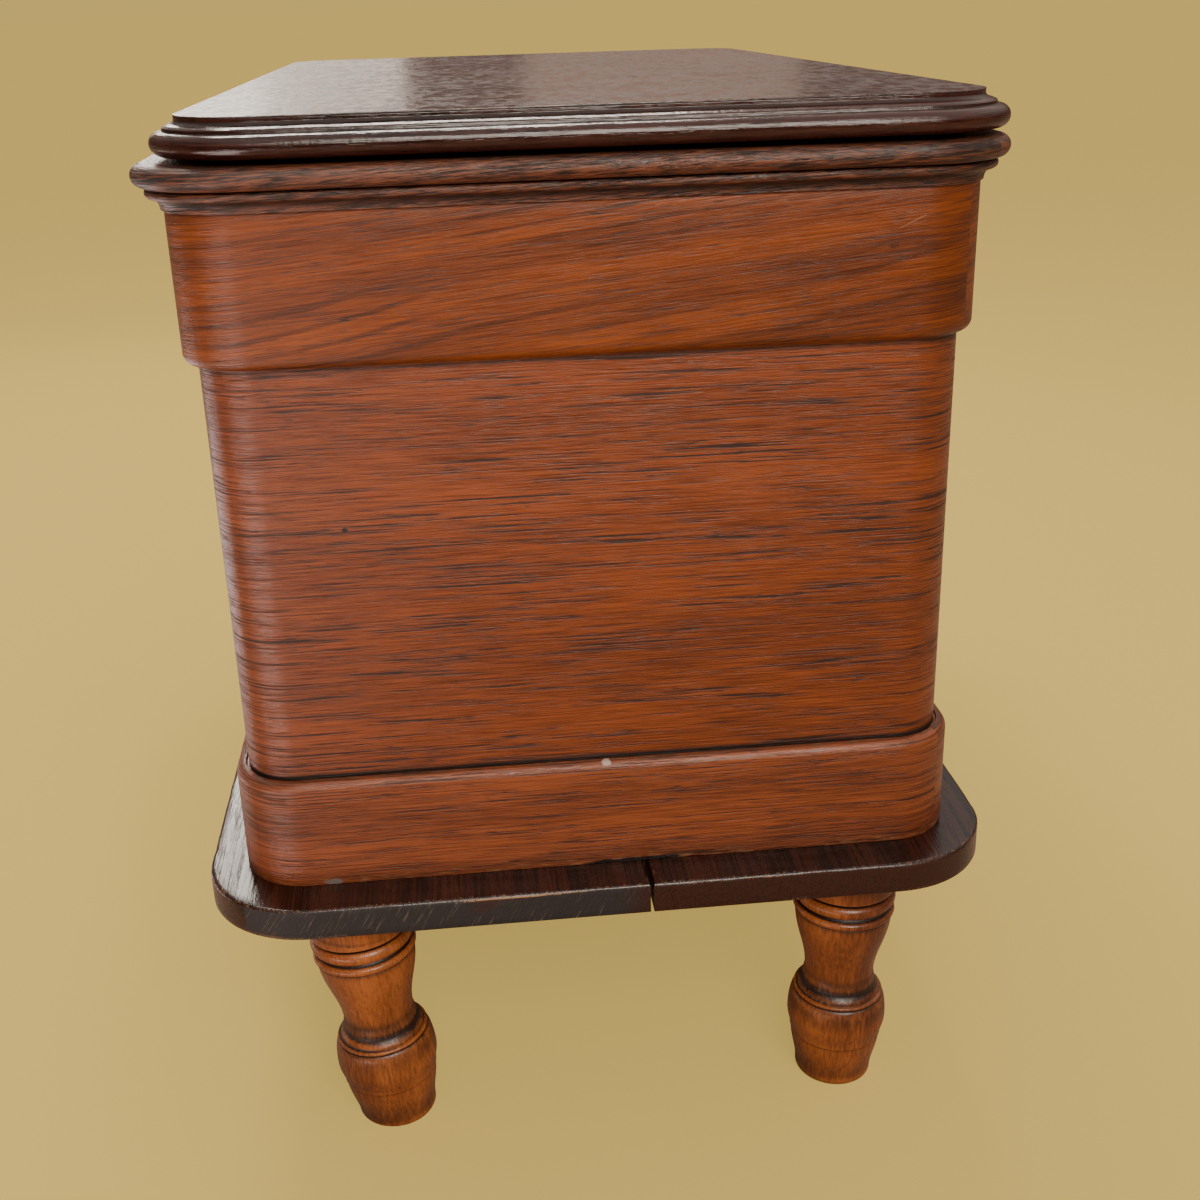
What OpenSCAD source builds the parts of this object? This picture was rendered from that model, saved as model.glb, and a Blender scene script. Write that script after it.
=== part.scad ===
// A low lidded sewing table: a long veneered case with round corners on a two-plank base board and four
// turned legs. Inside, a till slides over a deep well. X runs across the case, Y along it, Z up; the
// opening side is -X and the hinged side +X. The origin is on the floor under the middle of the base.

/* [Case] */
// Width of the main panel across the short end
panel_w = 432; // [380:1:520]
// Length of the main panel along the long side
panel_l = 820; // [700:1:990]
// Outer radius of the upright corners
panel_r = 33; // [27:1:42]
// Thickness of the carcass walls
wall_t = 16; // [13:1:20]
// Thickness of the veneer with its ground
veneer_t = 1.4; // [1:0.1:2]
// Height of the main panel between plinth and frieze
panel_h = 248; // [200:1:300]
// Thickness of the bottom of the well
floor_t = 6; // [4:1:9]

/* [Bands] */
// Height of the plinth band
plinth_h = 70; // [50:1:90]
// Height of the frieze band
frieze_h = 84; // [60:1:110]
// How far plinth and frieze stand out from the main panel
band_t = 8; // [6:0.5:10]
// Radius of the rounded edges of plinth and frieze
band_edge_r = 6; // [3:0.5:6]
// Height of the cornice moulding
cornice_h = 24; // [23:1:30]
// How far the cornice stands out from the main panel
cornice_out = 23; // [18:1:26]
// Radius of the cornice's half-round torus
torus_r = 6; // [4:0.5:6]
// Radius of the small bead under the torus
bead_r = 2.7; // [2:0.1:3]

/* [Base] */
// Height of the legs under the base board
leg_h = 165; // [130:1:210]
// Greatest radius of the turned legs
leg_r = 33.5; // [28:0.5:40]
// Distance from the side of the base board to the axis of a leg
leg_from_side = 88; // [75:1:105]
// Distance from the end of the base board to the axis of a leg
leg_from_end = 49; // [45:1:60]
// Radius of the dowels that hold the legs
dowel_r = 12.5; // [10:0.5:15]
// Length of a dowel inside its leg
dowel_in_leg = 30; // [20:1:40]
// Thickness of the base board
board_t = 20; // [16:1:26]
// Corner radius of the base board
board_r = 66; // [50:1:80]
// Width of the ledge beside the main panel
ledge_side = 31; // [24:1:40]
// Width of the ledge at the ends of the main panel
ledge_end = 36; // [24:1:44]
// Open gap between the two planks of the base board
plank_gap = 2; // [0.5:0.1:3]
// Place of the plank joint, from the centre line
plank_joint_x = 25; // [-60:1:60]
// Thickness of the battens under the base board
base_batten_t = 18; // [14:1:24]
// Width of the battens under the base board
base_batten_w = 60; // [40:1:80]
// Distance of the base battens from the middle of the table
base_batten_y = 200; // [120:1:260]

/* [Lid] */
// Thickness of the lid at its moulded edge
lid_t = 20.6; // [19:0.2:26]
// How far the lid reaches past the main panel at the opening side
lid_over_open = 12; // [8:0.2:20]
// How far the lid reaches past the main panel at the hinged side
lid_over_hinge = 23.5; // [20:0.5:26]
// How far the lid reaches past the main panel at the ends
lid_over_end = 20; // [10:0.5:26]
// Corner radius of the lid
lid_r = 58; // [50:1:64]
// Width of the moulded edge strips of the lid
lid_edge_w = 42; // [34:1:46]
// Radius of the half-round thumb at the foot of the lid's edge
thumb_r = 6.2; // [5:0.1:6.6]
// Thickness of the battens inside the lid
lid_batten_t = 16; // [12:1:18]
// Width of the battens inside the lid
lid_batten_w = 60; // [40:1:80]
// Distance of the lid battens from the middle of the table
lid_batten_y = 250; // [200:1:280]

/* [Hinges and stay] */
// Length of a hinge leaf
leaf_l = 64; // [50:1:76]
// Reach of a hinge leaf from the pin to its inner edge
leaf_w = 34; // [28:1:34]
// Thickness of a hinge leaf
leaf_t = 1.4; // [1.2:0.1:2]
// Outer radius of the hinge knuckles
knuckle_r = 3.5; // [3:0.1:4.2]
// Radius of the hinge pins
pin_r = 1.5; // [1.2:0.1:1.8]
// Distance from the end of the main panel to the middle of a hinge
hinge_from_end = 140; // [100:1:180]
// Length of the lid stay's arms across the case
stay_reach = 90; // [70:1:100]
// Drop of the stay's lower pivot under the hinge pin
stay_drop = 60; // [45:1:70]
// Width of the stay's arms
stay_w = 10; // [8:0.5:12]
// Thickness of the stay's arms
stay_t = 2.5; // [2:0.1:3]

/* [Till] */
// Length of the till
till_l = 380; // [300:1:440]
// Height of the till
till_h = 60; // [40:1:70]
// Thickness of the till's sides
till_t = 8; // [6:0.5:10]
// Thickness of the till's bottom
till_floor_t = 5; // [3:0.5:6]
// Gap between the till and the walls on each side
till_gap = 0.7; // [0.4:0.1:1.5]
// Space between the till and the lid's battens
till_headroom = 8; // [4:1:14]
// Height of the runners
runner_h = 20; // [14:1:30]
// Width of the runners
runner_w = 12; // [8:1:16]

/* [Hidden] */
$fn = 96;

// Clearances
glue = 0.1;          // between glued curved faces
fit = 0.1;           // round a dowel or a screw in its hole
running = 0.05;      // round a pin that turns
leaf_gap = 0.2;      // between the two leaves of a closed hinge
knuckle_gap = 0.3;   // between neighbouring knuckles
swing = 0.4;         // between a knuckle and the other leaf
arm_gap = 0.4;       // between the stay's arms, lugs and heads
elbow_slack = 0.3;   // extra radius of the hole at the stay's elbow
cut = 1;             // how far a cutting body runs past a face

// Heights
board_top = leg_h + board_t;
plinth_top = board_top + plinth_h;
frieze_bottom = plinth_top + panel_h;
frieze_top = frieze_bottom + frieze_h;
rim_top = frieze_top + cornice_h;
lid_bottom = rim_top + 2 * leaf_t + leaf_gap;
lid_top = lid_bottom + lid_t;

// The case in plan
run_x = panel_w / 2 - panel_r;       // centres of the corner arcs
run_y = panel_l / 2 - panel_r;
post_r = panel_r - veneer_t - glue;  // outer radius of the corner posts
in_x = run_x + post_r - wall_t;      // inner faces of the walls
in_y = run_y + post_r - wall_t;
band_in = panel_r + glue;            // inner radius of the bands at the corners
band_out = panel_r + band_t;

// The base in plan
board_w = panel_w + 2 * ledge_side;
board_l = panel_l + 2 * ledge_end;
leg_x = board_w / 2 - leg_from_side;
leg_y = board_l / 2 - leg_from_end;
lean_near_left = 5.5;                // degrees, each foot leans towards the middle
lean_near_right = 1.8;
lean_far = 3;
base_batten_inset = 27;              // from the side of the base board to the end of a batten
base_batten_l = board_w - 2 * base_batten_inset;
base_screw_inset = 70;               // from the end of a batten to the middle of its two screws
base_screw_pitch = 32;               // half the distance between those two screws
dowel_cover = 6;                     // wood left over a dowel
dowel_in_board = board_t - dowel_cover;

// The lid in plan
lid_low_x = -panel_w / 2 - lid_over_open;
lid_high_x = panel_w / 2 + lid_over_hinge;
lid_x = (lid_low_x + lid_high_x) / 2;
lid_run_x = (lid_high_x - lid_low_x) / 2 - lid_r;
lid_run_y = panel_l / 2 + lid_over_end - lid_r;
lid_in_r = lid_r - lid_edge_w;
lid_batten_play = 13.5;              // between a batten and the wall at each end
lid_batten_l = 2 * (in_x - lid_batten_play);
lid_screw_inset = 30;                // from the end of a lid batten to its first screw
pad_from_end = 110;                  // from the end of the main panel to a rest pad
pad_r = 6;

// Hinges
pin_clear = 0.5;                     // between the lid's edge and the hinge knuckles
hinge_x = lid_high_x + knuckle_r + pin_clear;
hinge_z = rim_top + leaf_t + leaf_gap / 2;
hinge_y = panel_l / 2 - hinge_from_end;
knuckle_n = 5;
knuckle_pitch = leaf_l / knuckle_n;
screw_r = 1.8;
screw_head_r = 3.6;
screw_l = 14;
screw_rows = [-22, 0, 22];
slot_w = 0.8;                        // of the slot in a screw head
slot_d = 0.5;
wood_screw_play = 0.4;               // extra radius of the thicker screws in the battens
sink_h = 2.6;                        // depth of the countersinks in the battens
screw_from_edge = 12;                // from the inner edge of a leaf to its screws
screw_x = hinge_x - leaf_w + screw_from_edge;

// Lid stay: a true parallelogram, so both arms turn exactly as far as the lid
stay_off_wall = 16.5;                // from the wall to the lower pivot
stay_off_lid = 8;                    // from the lid to the upper pivot
stay_off_corner = 21;                // from the corner post to the bracket's lug
stay_wall_x = in_x - stay_off_wall;
stay_wall_z = hinge_z - stay_drop;
stay_lid_x = hinge_x - stay_reach;
stay_lid_z = lid_bottom - stay_off_lid;
elbow_x = stay_wall_x + stay_lid_x - hinge_x;
elbow_z = stay_wall_z + stay_lid_z - hinge_z;
stay_y = run_y - stay_off_corner;                 // near face of the wall bracket's lug
lug_t = 4;
lower_y = stay_y + lug_t + arm_gap;  // near face of the lower arm
upper_y = lower_y + stay_t + arm_gap;
lid_lug_y = upper_y + stay_t + arm_gap;
stay_pin_r = 2.5;
stay_head_r = 4;
stay_head_t = 1.5;
bracket_t = 1.8;
stay_eye_r = 6;                      // round the pivots
stop_z = 14;                         // from the lower pivot up to the stop
stop_h = 6;
wall_plate_l = 32;
wall_plate_h = 44;
wall_plate_y = stay_y - 12;
wall_screw_inset = 6;                // from the edge of the wall plate to its screws
lid_plate_l = 26;
lid_plate_w = 44;
lid_screw_off = 8;                   // from the lid bracket's lug to its screws
plate_screw_pitch = 15;              // half the distance between the screws of a plate

// Till
runner_top = rim_top + 2 * leaf_t + leaf_gap - lid_batten_t - till_headroom - till_h;
till_w = 2 * (in_x - till_gap);
till_start = 0.5;                    // from the corner posts to the till when it is at rest
till_y = -run_y + till_start;
till_rise = 0.1;                     // between the till and its runners
divider_drop = 12;                   // of the cross dividers under the till's edge
long_divider_drop = 2;
divider_t = 5;
finger_slot_l = 90;
finger_slot_h = 20;

// Points on an arc round c, from angle a to angle b
function arc(c, r, a, b, n = 12) =
    [for (i = [0 : n]) let (t = a + (b - a) * i / n) c + r * [cos(t), sin(t)]];

// Points on an S-shaped sweep from p to q, upright at both ends
function sweep(p, q, n = 10) =
    [for (i = [0 : n]) [p.x + (q.x - p.x) * (1 - cos(180 * i / n)) / 2, p.y + (q.y - p.y) * i / n]];

// Points on a quarter of an ellipse that leaves p upright and reaches q level
function shoulder(p, q, n = 8) =
    [for (i = [0 : n]) [q.x + (p.x - q.x) * cos(90 * i / n), p.y + (q.y - p.y) * sin(90 * i / n)]];

// A rectangle with round corners, given by the centres of its corner arcs
module round_rect(x, y, r) {
    square([2 * x, 2 * (y + r)], center = true);
    square([2 * (x + r), 2 * y], center = true);
    for (i = [-1, 1], j = [-1, 1])
        translate([i * x, j * y]) circle(r);
}

// One mitred side of a band round a rounded rectangle. The outline is drawn with X out from the corner's
// centre and Y up; out and along are the distances to the corner centres. This side faces +X.
module band_side(out, along) {
    translate([out, along, 0]) rotate([90, 0, 0]) linear_extrude(2 * along) children();
    for (end = [0, 1])
        mirror([0, end, 0]) translate([out, along, 0]) rotate_extrude(angle = 45) children();
}

module side_near(x, y) { rotate([0, 0, -90]) band_side(y, x) children(); }
module side_far(x, y) { rotate([0, 0, 90]) band_side(y, x) children(); }
module side_left(x, y) { rotate([0, 0, 180]) band_side(x, y) children(); }
module side_right(x, y) { band_side(x, y) children(); }

// ---- Base ----

module leg_place(i, j, lean) {
    translate([i * leg_x, j * leg_y, leg_h]) rotate([0, i * lean, 0]) children();
}

module each_leg() {
    leg_place(-1, -1, lean_near_left) children();
    leg_place(1, -1, lean_near_right) children();
    leg_place(-1, 1, lean_far) children();
    leg_place(1, 1, lean_far) children();
}

// Half outline of a leg, height 0 at the floor end
module leg_outline() {
    neck_r = leg_r - 10.5;
    cup_r = leg_r - 1.7;
    collar_r = leg_r - 5;
    foot_r = leg_r - 8;
    foot_edge = 4;
    bulb_z = 0.28 * leg_h;
    bead_z = 0.385 * leg_h;
    collar_z = bead_z + 2.5;
    neck_z = 0.49 * leg_h;
    cup_z = 0.77 * leg_h;
    polygon(concat(
        [[0, -foot_edge]],
        arc([foot_r - foot_edge, foot_edge], foot_edge, -90, 0, 6),
        sweep([foot_r, foot_edge], [leg_r - 3.5, 0.2 * leg_h]),
        sweep([leg_r - 2.8, 0.2 * leg_h + 0.6], [leg_r - 0.6, bulb_z]),
        shoulder([leg_r - 0.6, bulb_z], [collar_r + 0.4, bead_z]),
        arc([collar_r, bead_z + 1.25], 1.25, -80, 80, 6),
        sweep([collar_r - 0.8, collar_z + 0.4], [neck_r + 1.5, collar_z + 7]),
        sweep([neck_r + 1.2, collar_z + 7.5], [neck_r, neck_z], 5),
        sweep([neck_r, neck_z], [cup_r, cup_z], 14),
        arc([cup_r - 1.2, cup_z + 3], 2.8, -75, 75, 8),
        [[leg_r - 3.5, cup_z + 6.6]],
        arc([leg_r - 5, cup_z + 12.5], 5, -80, 80, 10),
        [[leg_r - 3, cup_z + 18.4], [leg_r - 1, cup_z + 19.4], [leg_r - 1, leg_h + 6], [0, leg_h + 6]]
    ));
}

module leg(i, j, lean) {
    color("#8a4a1c")
        intersection() {
            difference() {
                leg_place(i, j, lean)
                    translate([0, 0, -leg_h / cos(lean) - leg_r * sin(lean)])
                        rotate_extrude() leg_outline();
                leg_place(i, j, lean)
                    translate([0, 0, -dowel_in_leg])
                        cylinder(r = dowel_r + fit, h = dowel_in_leg + 2 * cut + 8);
            }
            translate([-board_w / 2, -board_l / 2, 0]) cube([board_w, board_l, leg_h]);
        }
}

module leg_dowels() {
    color("#b98a55")
        each_leg() translate([0, 0, -dowel_in_leg + 1])
            cylinder(r = dowel_r, h = dowel_in_leg + dowel_in_board - 2);
}

// Places the screws of the base battens: i and j choose the batten and the plank
module base_batten_screw_places(battens = [-1, 1], planks = [-1, 1]) {
    for (j = battens, i = planks, k = [-1, 1])
        translate([i * (base_batten_l / 2 - base_screw_inset) + k * base_screw_pitch,
                   j * base_batten_y, leg_h - base_batten_t])
            children();
}

module screw_hole(length) {
    hole_r = screw_r + wood_screw_play + fit;
    translate([0, 0, -cut]) cylinder(r = hole_r, h = length + cut);
    translate([0, 0, -0.01]) cylinder(r1 = screw_head_r + fit + 0.6, r2 = hole_r, h = sink_h);
}

module plank(low_x, high_x, side) {
    difference() {
        translate([0, 0, leg_h]) linear_extrude(board_t)
            intersection() {
                round_rect(board_w / 2 - board_r, board_l / 2 - board_r, board_r);
                translate([low_x, -board_l / 2]) square([high_x - low_x, board_l]);
            }
        each_leg() translate([0, 0, -2 * cut]) cylinder(r = dowel_r + fit, h = dowel_in_board + 2 * cut);
        base_batten_screw_places(planks = [side])
            translate([0, 0, base_batten_t - cut])
                cylinder(r = screw_r + wood_screw_play + fit, h = board_t - dowel_cover + 2 + cut);
    }
}

module base_board_left() {
    color("#4a2016") plank(-board_w / 2, plank_joint_x - plank_gap / 2, -1);
}

module base_board_right() {
    color("#5c2618") plank(plank_joint_x + plank_gap / 2, board_w / 2, 1);
}

module base_batten(j) {
    color("#6e4426")
        difference() {
            translate([-base_batten_l / 2, j * base_batten_y - base_batten_w / 2, leg_h - base_batten_t])
                cube([base_batten_l, base_batten_w, base_batten_t]);
            base_batten_screw_places(battens = [j]) screw_hole(base_batten_t + cut);
        }
}

module base_batten_screws() {
    color("#3c3836")
        base_batten_screw_places() {
            translate([0, 0, 0.5])
                cylinder(r = screw_r + wood_screw_play, h = base_batten_t + board_t - dowel_cover);
            translate([0, 0, 0.1])
                cylinder(r1 = screw_head_r + 0.5, r2 = screw_r + wood_screw_play, h = sink_h - 0.2);
        }
}

// ---- Carcass ----

module end_panel(j) {
    color("#7a4526")
        translate([-run_x, j > 0 ? in_y : -in_y - wall_t, board_top])
            cube([2 * run_x, wall_t, rim_top - board_top]);
}

module side_panel(i) {
    color("#7a4526")
        difference() {
            translate([i > 0 ? in_x : -in_x - wall_t, -run_y, board_top])
                cube([wall_t, 2 * run_y, rim_top - board_top]);
            if (i > 0)
                stay_wall_screw_places() rotate([0, 90, 0])
                    translate([0, 0, -cut]) cylinder(r = screw_r + fit, h = wall_t - 3 + cut);
        }
}

module corner_post(i, j) {
    color("#6b3c20")
        translate([i * run_x, j * run_y, board_top])
            intersection() {
                cylinder(r = post_r, h = rim_top - board_top);
                translate([i > 0 ? 0 : -post_r, j > 0 ? 0 : -post_r, 0])
                    cube([post_r, post_r, rim_top - board_top]);
            }
}

module panel_veneer() {
    color("#96431f")
        translate([0, 0, board_top]) linear_extrude(rim_top - board_top)
            difference() {
                round_rect(run_x, run_y, panel_r);
                round_rect(run_x, run_y, panel_r - veneer_t);
            }
}

module floor_panel() {
    gap = 0.2;
    color("#8b5a35")
        translate([0, 0, board_top]) linear_extrude(floor_t)
            difference() {
                square([2 * (in_x - gap), 2 * (in_y - gap)], center = true);
                for (i = [-1, 1], j = [-1, 1])
                    translate([i * (run_x + 50 - gap), j * (run_y + 50 - gap)]) square(100, center = true);
            }
}

module runner(i) {
    color("#8b5a35")
        translate([i > 0 ? in_x - runner_w : -in_x, -run_y, runner_top - runner_h])
            cube([runner_w, 2 * run_y, runner_h]);
}

// ---- Bands ----

module plinth_outline() {
    polygon(concat(
        [[band_in, board_top], [band_out, board_top]],
        arc([band_out - band_edge_r, plinth_top - band_edge_r], band_edge_r, 0, 90, 8),
        [[band_out - band_edge_r - 0.4, plinth_top - 1.5], [band_in, plinth_top - 1.5]]
    ));
}

module frieze_outline() {
    fillet_h = 1;
    fillet_x = band_out - band_edge_r - 0.5;
    polygon(concat(
        [[band_in, frieze_bottom], [fillet_x, frieze_bottom], [fillet_x, frieze_bottom + fillet_h]],
        arc([band_out - band_edge_r, frieze_bottom + fillet_h + band_edge_r], band_edge_r, -90, 0, 8),
        [[band_out, frieze_top], [band_in, frieze_top]]
    ));
}

module cornice_outline() {
    torus_c = [panel_r + cornice_out - torus_r, rim_top - torus_r];
    bead_c = [torus_c.x - bead_r, torus_c.y - torus_r - 0.4 - bead_r];
    cove_top = bead_c.y - bead_r;
    cove_r = cove_top - frieze_top - 1;
    polygon(concat(
        [[band_in, frieze_top], [bead_c.x - cove_r + 0.6, frieze_top]],
        arc([bead_c.x + 0.6, frieze_top + 1], cove_r, 180, 90, 8),
        arc(bead_c, bead_r, -90, 90, 10),
        [[bead_c.x - 0.6, torus_c.y - torus_r]],
        arc(torus_c, torus_r, -90, 90, 14),
        [[band_in, rim_top]]
    ));
}

module plinth_near() { color("#8f4420") side_near(run_x, run_y) plinth_outline(); }
module plinth_far() { color("#8f4420") side_far(run_x, run_y) plinth_outline(); }
module plinth_left() { color("#8f4420") side_left(run_x, run_y) plinth_outline(); }
module plinth_right() { color("#8f4420") side_right(run_x, run_y) plinth_outline(); }

module frieze_near() { color("#9a4f22") side_near(run_x, run_y) frieze_outline(); }
module frieze_far() { color("#9a4f22") side_far(run_x, run_y) frieze_outline(); }
module frieze_left() { color("#9a4f22") side_left(run_x, run_y) frieze_outline(); }
module frieze_right() { color("#9a4f22") side_right(run_x, run_y) frieze_outline(); }

module cornice_near() { color("#6f3a20") side_near(run_x, run_y) cornice_outline(); }
module cornice_far() { color("#6f3a20") side_far(run_x, run_y) cornice_outline(); }
module cornice_left() { color("#6f3a20") side_left(run_x, run_y) cornice_outline(); }

module cornice_right() {
    color("#6f3a20")
        difference() {
            side_right(run_x, run_y) cornice_outline();
            hinge_screw_places() translate([0, 0, rim_top - screw_l])
                cylinder(r = screw_r + fit, h = screw_l + cut);
        }
}

// ---- Lid ----

// Half-round thumb, a small rounded step and a hollow face up to the flat top
module lid_outline() {
    thumb_c = [lid_r - thumb_r, lid_bottom + thumb_r];
    step_z = lid_bottom + 2 * thumb_r;
    step_r = 2.4;
    face_h = lid_top - step_z - step_r - 0.8;
    face_x = thumb_c.x - 1 - step_r - 0.8;
    polygon(concat(
        [[lid_in_r, lid_bottom]],
        arc(thumb_c, thumb_r, -90, 90, 16),
        [[thumb_c.x - 1, step_z]],
        arc([thumb_c.x - 1 - step_r, step_z + 0.8], step_r, 0, 90, 6),
        arc([face_x, lid_top - 1], face_h - 1, 270, 210, 6),
        [[face_x - face_h + 1.4, lid_top], [lid_in_r, lid_top]]
    ));
}

module lid_edge_near() {
    color("#3f1a12") translate([lid_x, 0, 0]) side_near(lid_run_x, lid_run_y) lid_outline();
}

module lid_edge_far() {
    color("#3f1a12") translate([lid_x, 0, 0]) side_far(lid_run_x, lid_run_y) lid_outline();
}

module lid_edge_left() {
    color("#3f1a12") translate([lid_x, 0, 0]) side_left(lid_run_x, lid_run_y) lid_outline();
}

module lid_edge_right() {
    color("#3f1a12")
        difference() {
            translate([lid_x, 0, 0]) side_right(lid_run_x, lid_run_y) lid_outline();
            hinge_screw_places() translate([0, 0, lid_bottom - cut])
                cylinder(r = screw_r + fit, h = screw_l + cut);
        }
}

module lid_panel() {
    color("#4f2115")
        difference() {
            translate([lid_x, 0, lid_bottom]) linear_extrude(lid_t)
                round_rect(lid_run_x, lid_run_y, lid_in_r);
            lid_batten_screw_places() translate([0, 0, lid_batten_t - cut])
                cylinder(r = screw_r + fit, h = 12 + cut);
            stay_lid_screw_places() translate([0, 0, -cut]) cylinder(r = screw_r + fit, h = screw_l + cut);
        }
}

module lid_batten_screw_places(battens = [-1, 1]) {
    for (j = battens, i = [-1.5, -0.5, 0.5, 1.5])
        translate([i * (lid_batten_l - 2 * lid_screw_inset) / 3, j * lid_batten_y,
                   lid_bottom - lid_batten_t]) children();
}

module lid_batten(j) {
    color("#7a4a2a")
        difference() {
            translate([-lid_batten_l / 2, j * lid_batten_y - lid_batten_w / 2, lid_bottom - lid_batten_t])
                cube([lid_batten_l, lid_batten_w, lid_batten_t]);
            lid_batten_screw_places(battens = [j]) {
                translate([0, 0, -cut]) cylinder(r = screw_r + fit, h = lid_batten_t + 2 * cut);
                translate([0, 0, -0.01]) cylinder(r1 = screw_head_r + fit, r2 = screw_r + fit, h = 2);
            }
        }
}

module lid_batten_screws() {
    color("#3c3836")
        lid_batten_screw_places() {
            translate([0, 0, 0.3]) cylinder(r = screw_r, h = lid_batten_t + 10);
            translate([0, 0, 0.1]) cylinder(r1 = screw_head_r, r2 = screw_r, h = 1.8);
        }
}

module lid_rest_pads() {
    color("#3a4a34")
        for (j = [-1, 1])
            translate([-in_x - wall_t / 2, j * (panel_l / 2 - pad_from_end), rim_top])
                cylinder(r = pad_r, h = lid_bottom - rim_top - 0.1);
}

// ---- Hinges ----

module hinge_screw_places() {
    for (j = [-1, 1], k = screw_rows)
        translate([screw_x, j * hinge_y + k, 0]) children();
}

// Knuckles of one leaf of one hinge; own lists which of them belong to it
module knuckles(own) {
    for (k = own)
        translate([0, -leaf_l / 2 + k * knuckle_pitch + knuckle_gap / 2, 0]) children();
}

module hinge_leaf(own, low_z) {
    knuckle_l = knuckle_pitch - knuckle_gap;
    plate_end = knuckle_r + swing;
    difference() {
        union() {
            translate([-leaf_w, -leaf_l / 2, low_z]) cube([leaf_w - plate_end, leaf_l, leaf_t]);
            knuckles(own) {
                translate([-plate_end - 0.01, 0, low_z]) cube([plate_end + 0.01, knuckle_l, leaf_t]);
                rotate([-90, 0, 0]) cylinder(r = knuckle_r, h = knuckle_l);
            }
        }
        translate([0, -leaf_l / 2 - cut, 0]) rotate([-90, 0, 0])
            cylinder(r = pin_r + running, h = leaf_l + 2 * cut);
        for (k = screw_rows)
            translate([screw_x - hinge_x, k, low_z]) children();
    }
}

module hinge_case_leaves() {
    color("#9a7a3c")
        for (j = [-1, 1])
            translate([hinge_x, j * hinge_y, hinge_z])
                hinge_leaf([0, 2, 4], -leaf_t - leaf_gap / 2) {
                    translate([0, 0, -cut]) cylinder(r = screw_r + fit, h = leaf_t + 2 * cut);
                    translate([0, 0, 0.1])
                        cylinder(r1 = screw_r + fit, r2 = screw_head_r + fit, h = leaf_t - 0.09);
                }
}

module hinge_lid_leaves() {
    color("#9a7a3c")
        for (j = [-1, 1])
            translate([hinge_x, j * hinge_y, hinge_z])
                hinge_leaf([1, 3], leaf_gap / 2) {
                    translate([0, 0, -cut]) cylinder(r = screw_r + fit, h = leaf_t + 2 * cut);
                    translate([0, 0, -0.01])
                        cylinder(r1 = screw_head_r + fit, r2 = screw_r + fit, h = leaf_t - 0.09);
                }
}

module hinge_pins() {
    color("#8c6c34")
        for (j = [-1, 1])
            translate([hinge_x, j * hinge_y - leaf_l / 2 - 0.5, hinge_z])
                rotate([-90, 0, 0]) cylinder(r = pin_r, h = leaf_l + 1);
}

// A countersunk screw, head at the bottom, pointing up
module screw(length) {
    difference() {
        union() {
            cylinder(r1 = screw_head_r, r2 = screw_r, h = leaf_t - 0.2);
            cylinder(r = screw_r, h = length);
        }
        translate([-screw_head_r - cut, -slot_w / 2, -cut])
            cube([2 * (screw_head_r + cut), slot_w, cut + slot_d]);
    }
}

module case_screws() {
    color("#a8894a") {
        hinge_screw_places() translate([0, 0, hinge_z - leaf_gap / 2]) mirror([0, 0, 1]) screw(screw_l);
        stay_wall_screw_places() translate([-bracket_t, 0, 0]) rotate([0, 90, 0]) screw(wall_t - 3);
    }
}

module lid_screws() {
    color("#a8894a") {
        hinge_screw_places() translate([0, 0, hinge_z + leaf_gap / 2]) screw(screw_l);
        stay_lid_screw_places() translate([0, 0, -bracket_t]) screw(screw_l);
    }
}

// ---- Lid stay ----

module stay_wall_screw_places() {
    for (k = [-1, 1])
        translate([in_x, wall_plate_y + wall_screw_inset, stay_wall_z + k * plate_screw_pitch]) children();
}

module stay_lid_screw_places() {
    for (k = [-1, 1])
        translate([stay_lid_x + k * plate_screw_pitch, lid_lug_y + lug_t + lid_screw_off,
                   lid_bottom]) children();
}

// A round bar along Y from y0 to y1 at (x, z)
module y_bar(x, z, r, y0, y1) {
    translate([x, y0, z]) rotate([-90, 0, 0]) cylinder(r = r, h = y1 - y0);
}

module stay_wall_bracket() {
    stop_x = stay_wall_x + stay_w / 2 + 2.4;
    head_y = lower_y + stay_t + arm_gap;
    color("#7d6a45")
        difference() {
            union() {
                translate([in_x - bracket_t, wall_plate_y, stay_wall_z - wall_plate_h / 2])
                    cube([bracket_t, wall_plate_l, wall_plate_h]);
                translate([stay_wall_x, stay_y, stay_wall_z - stay_eye_r])
                    cube([in_x - stay_wall_x, lug_t, 2 * stay_eye_r]);
                y_bar(stay_wall_x, stay_wall_z, stay_eye_r, stay_y, stay_y + lug_t);
                y_bar(stay_wall_x, stay_wall_z, stay_pin_r, stay_y, head_y + stay_head_t);
                y_bar(stay_wall_x, stay_wall_z, stay_head_r, head_y, head_y + stay_head_t);
                translate([stop_x, stay_y, stay_wall_z + stop_z])
                    cube([in_x - stop_x, lug_t + arm_gap + stay_t, stop_h]);
            }
            stay_wall_screw_places() rotate([0, 90, 0]) {
                translate([0, 0, -bracket_t - cut]) cylinder(r = screw_r + fit, h = bracket_t + 2 * cut);
                translate([0, 0, -bracket_t - 0.01])
                    cylinder(r1 = screw_head_r + fit, r2 = screw_r + fit, h = leaf_t - 0.1);
            }
        }
}

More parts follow.
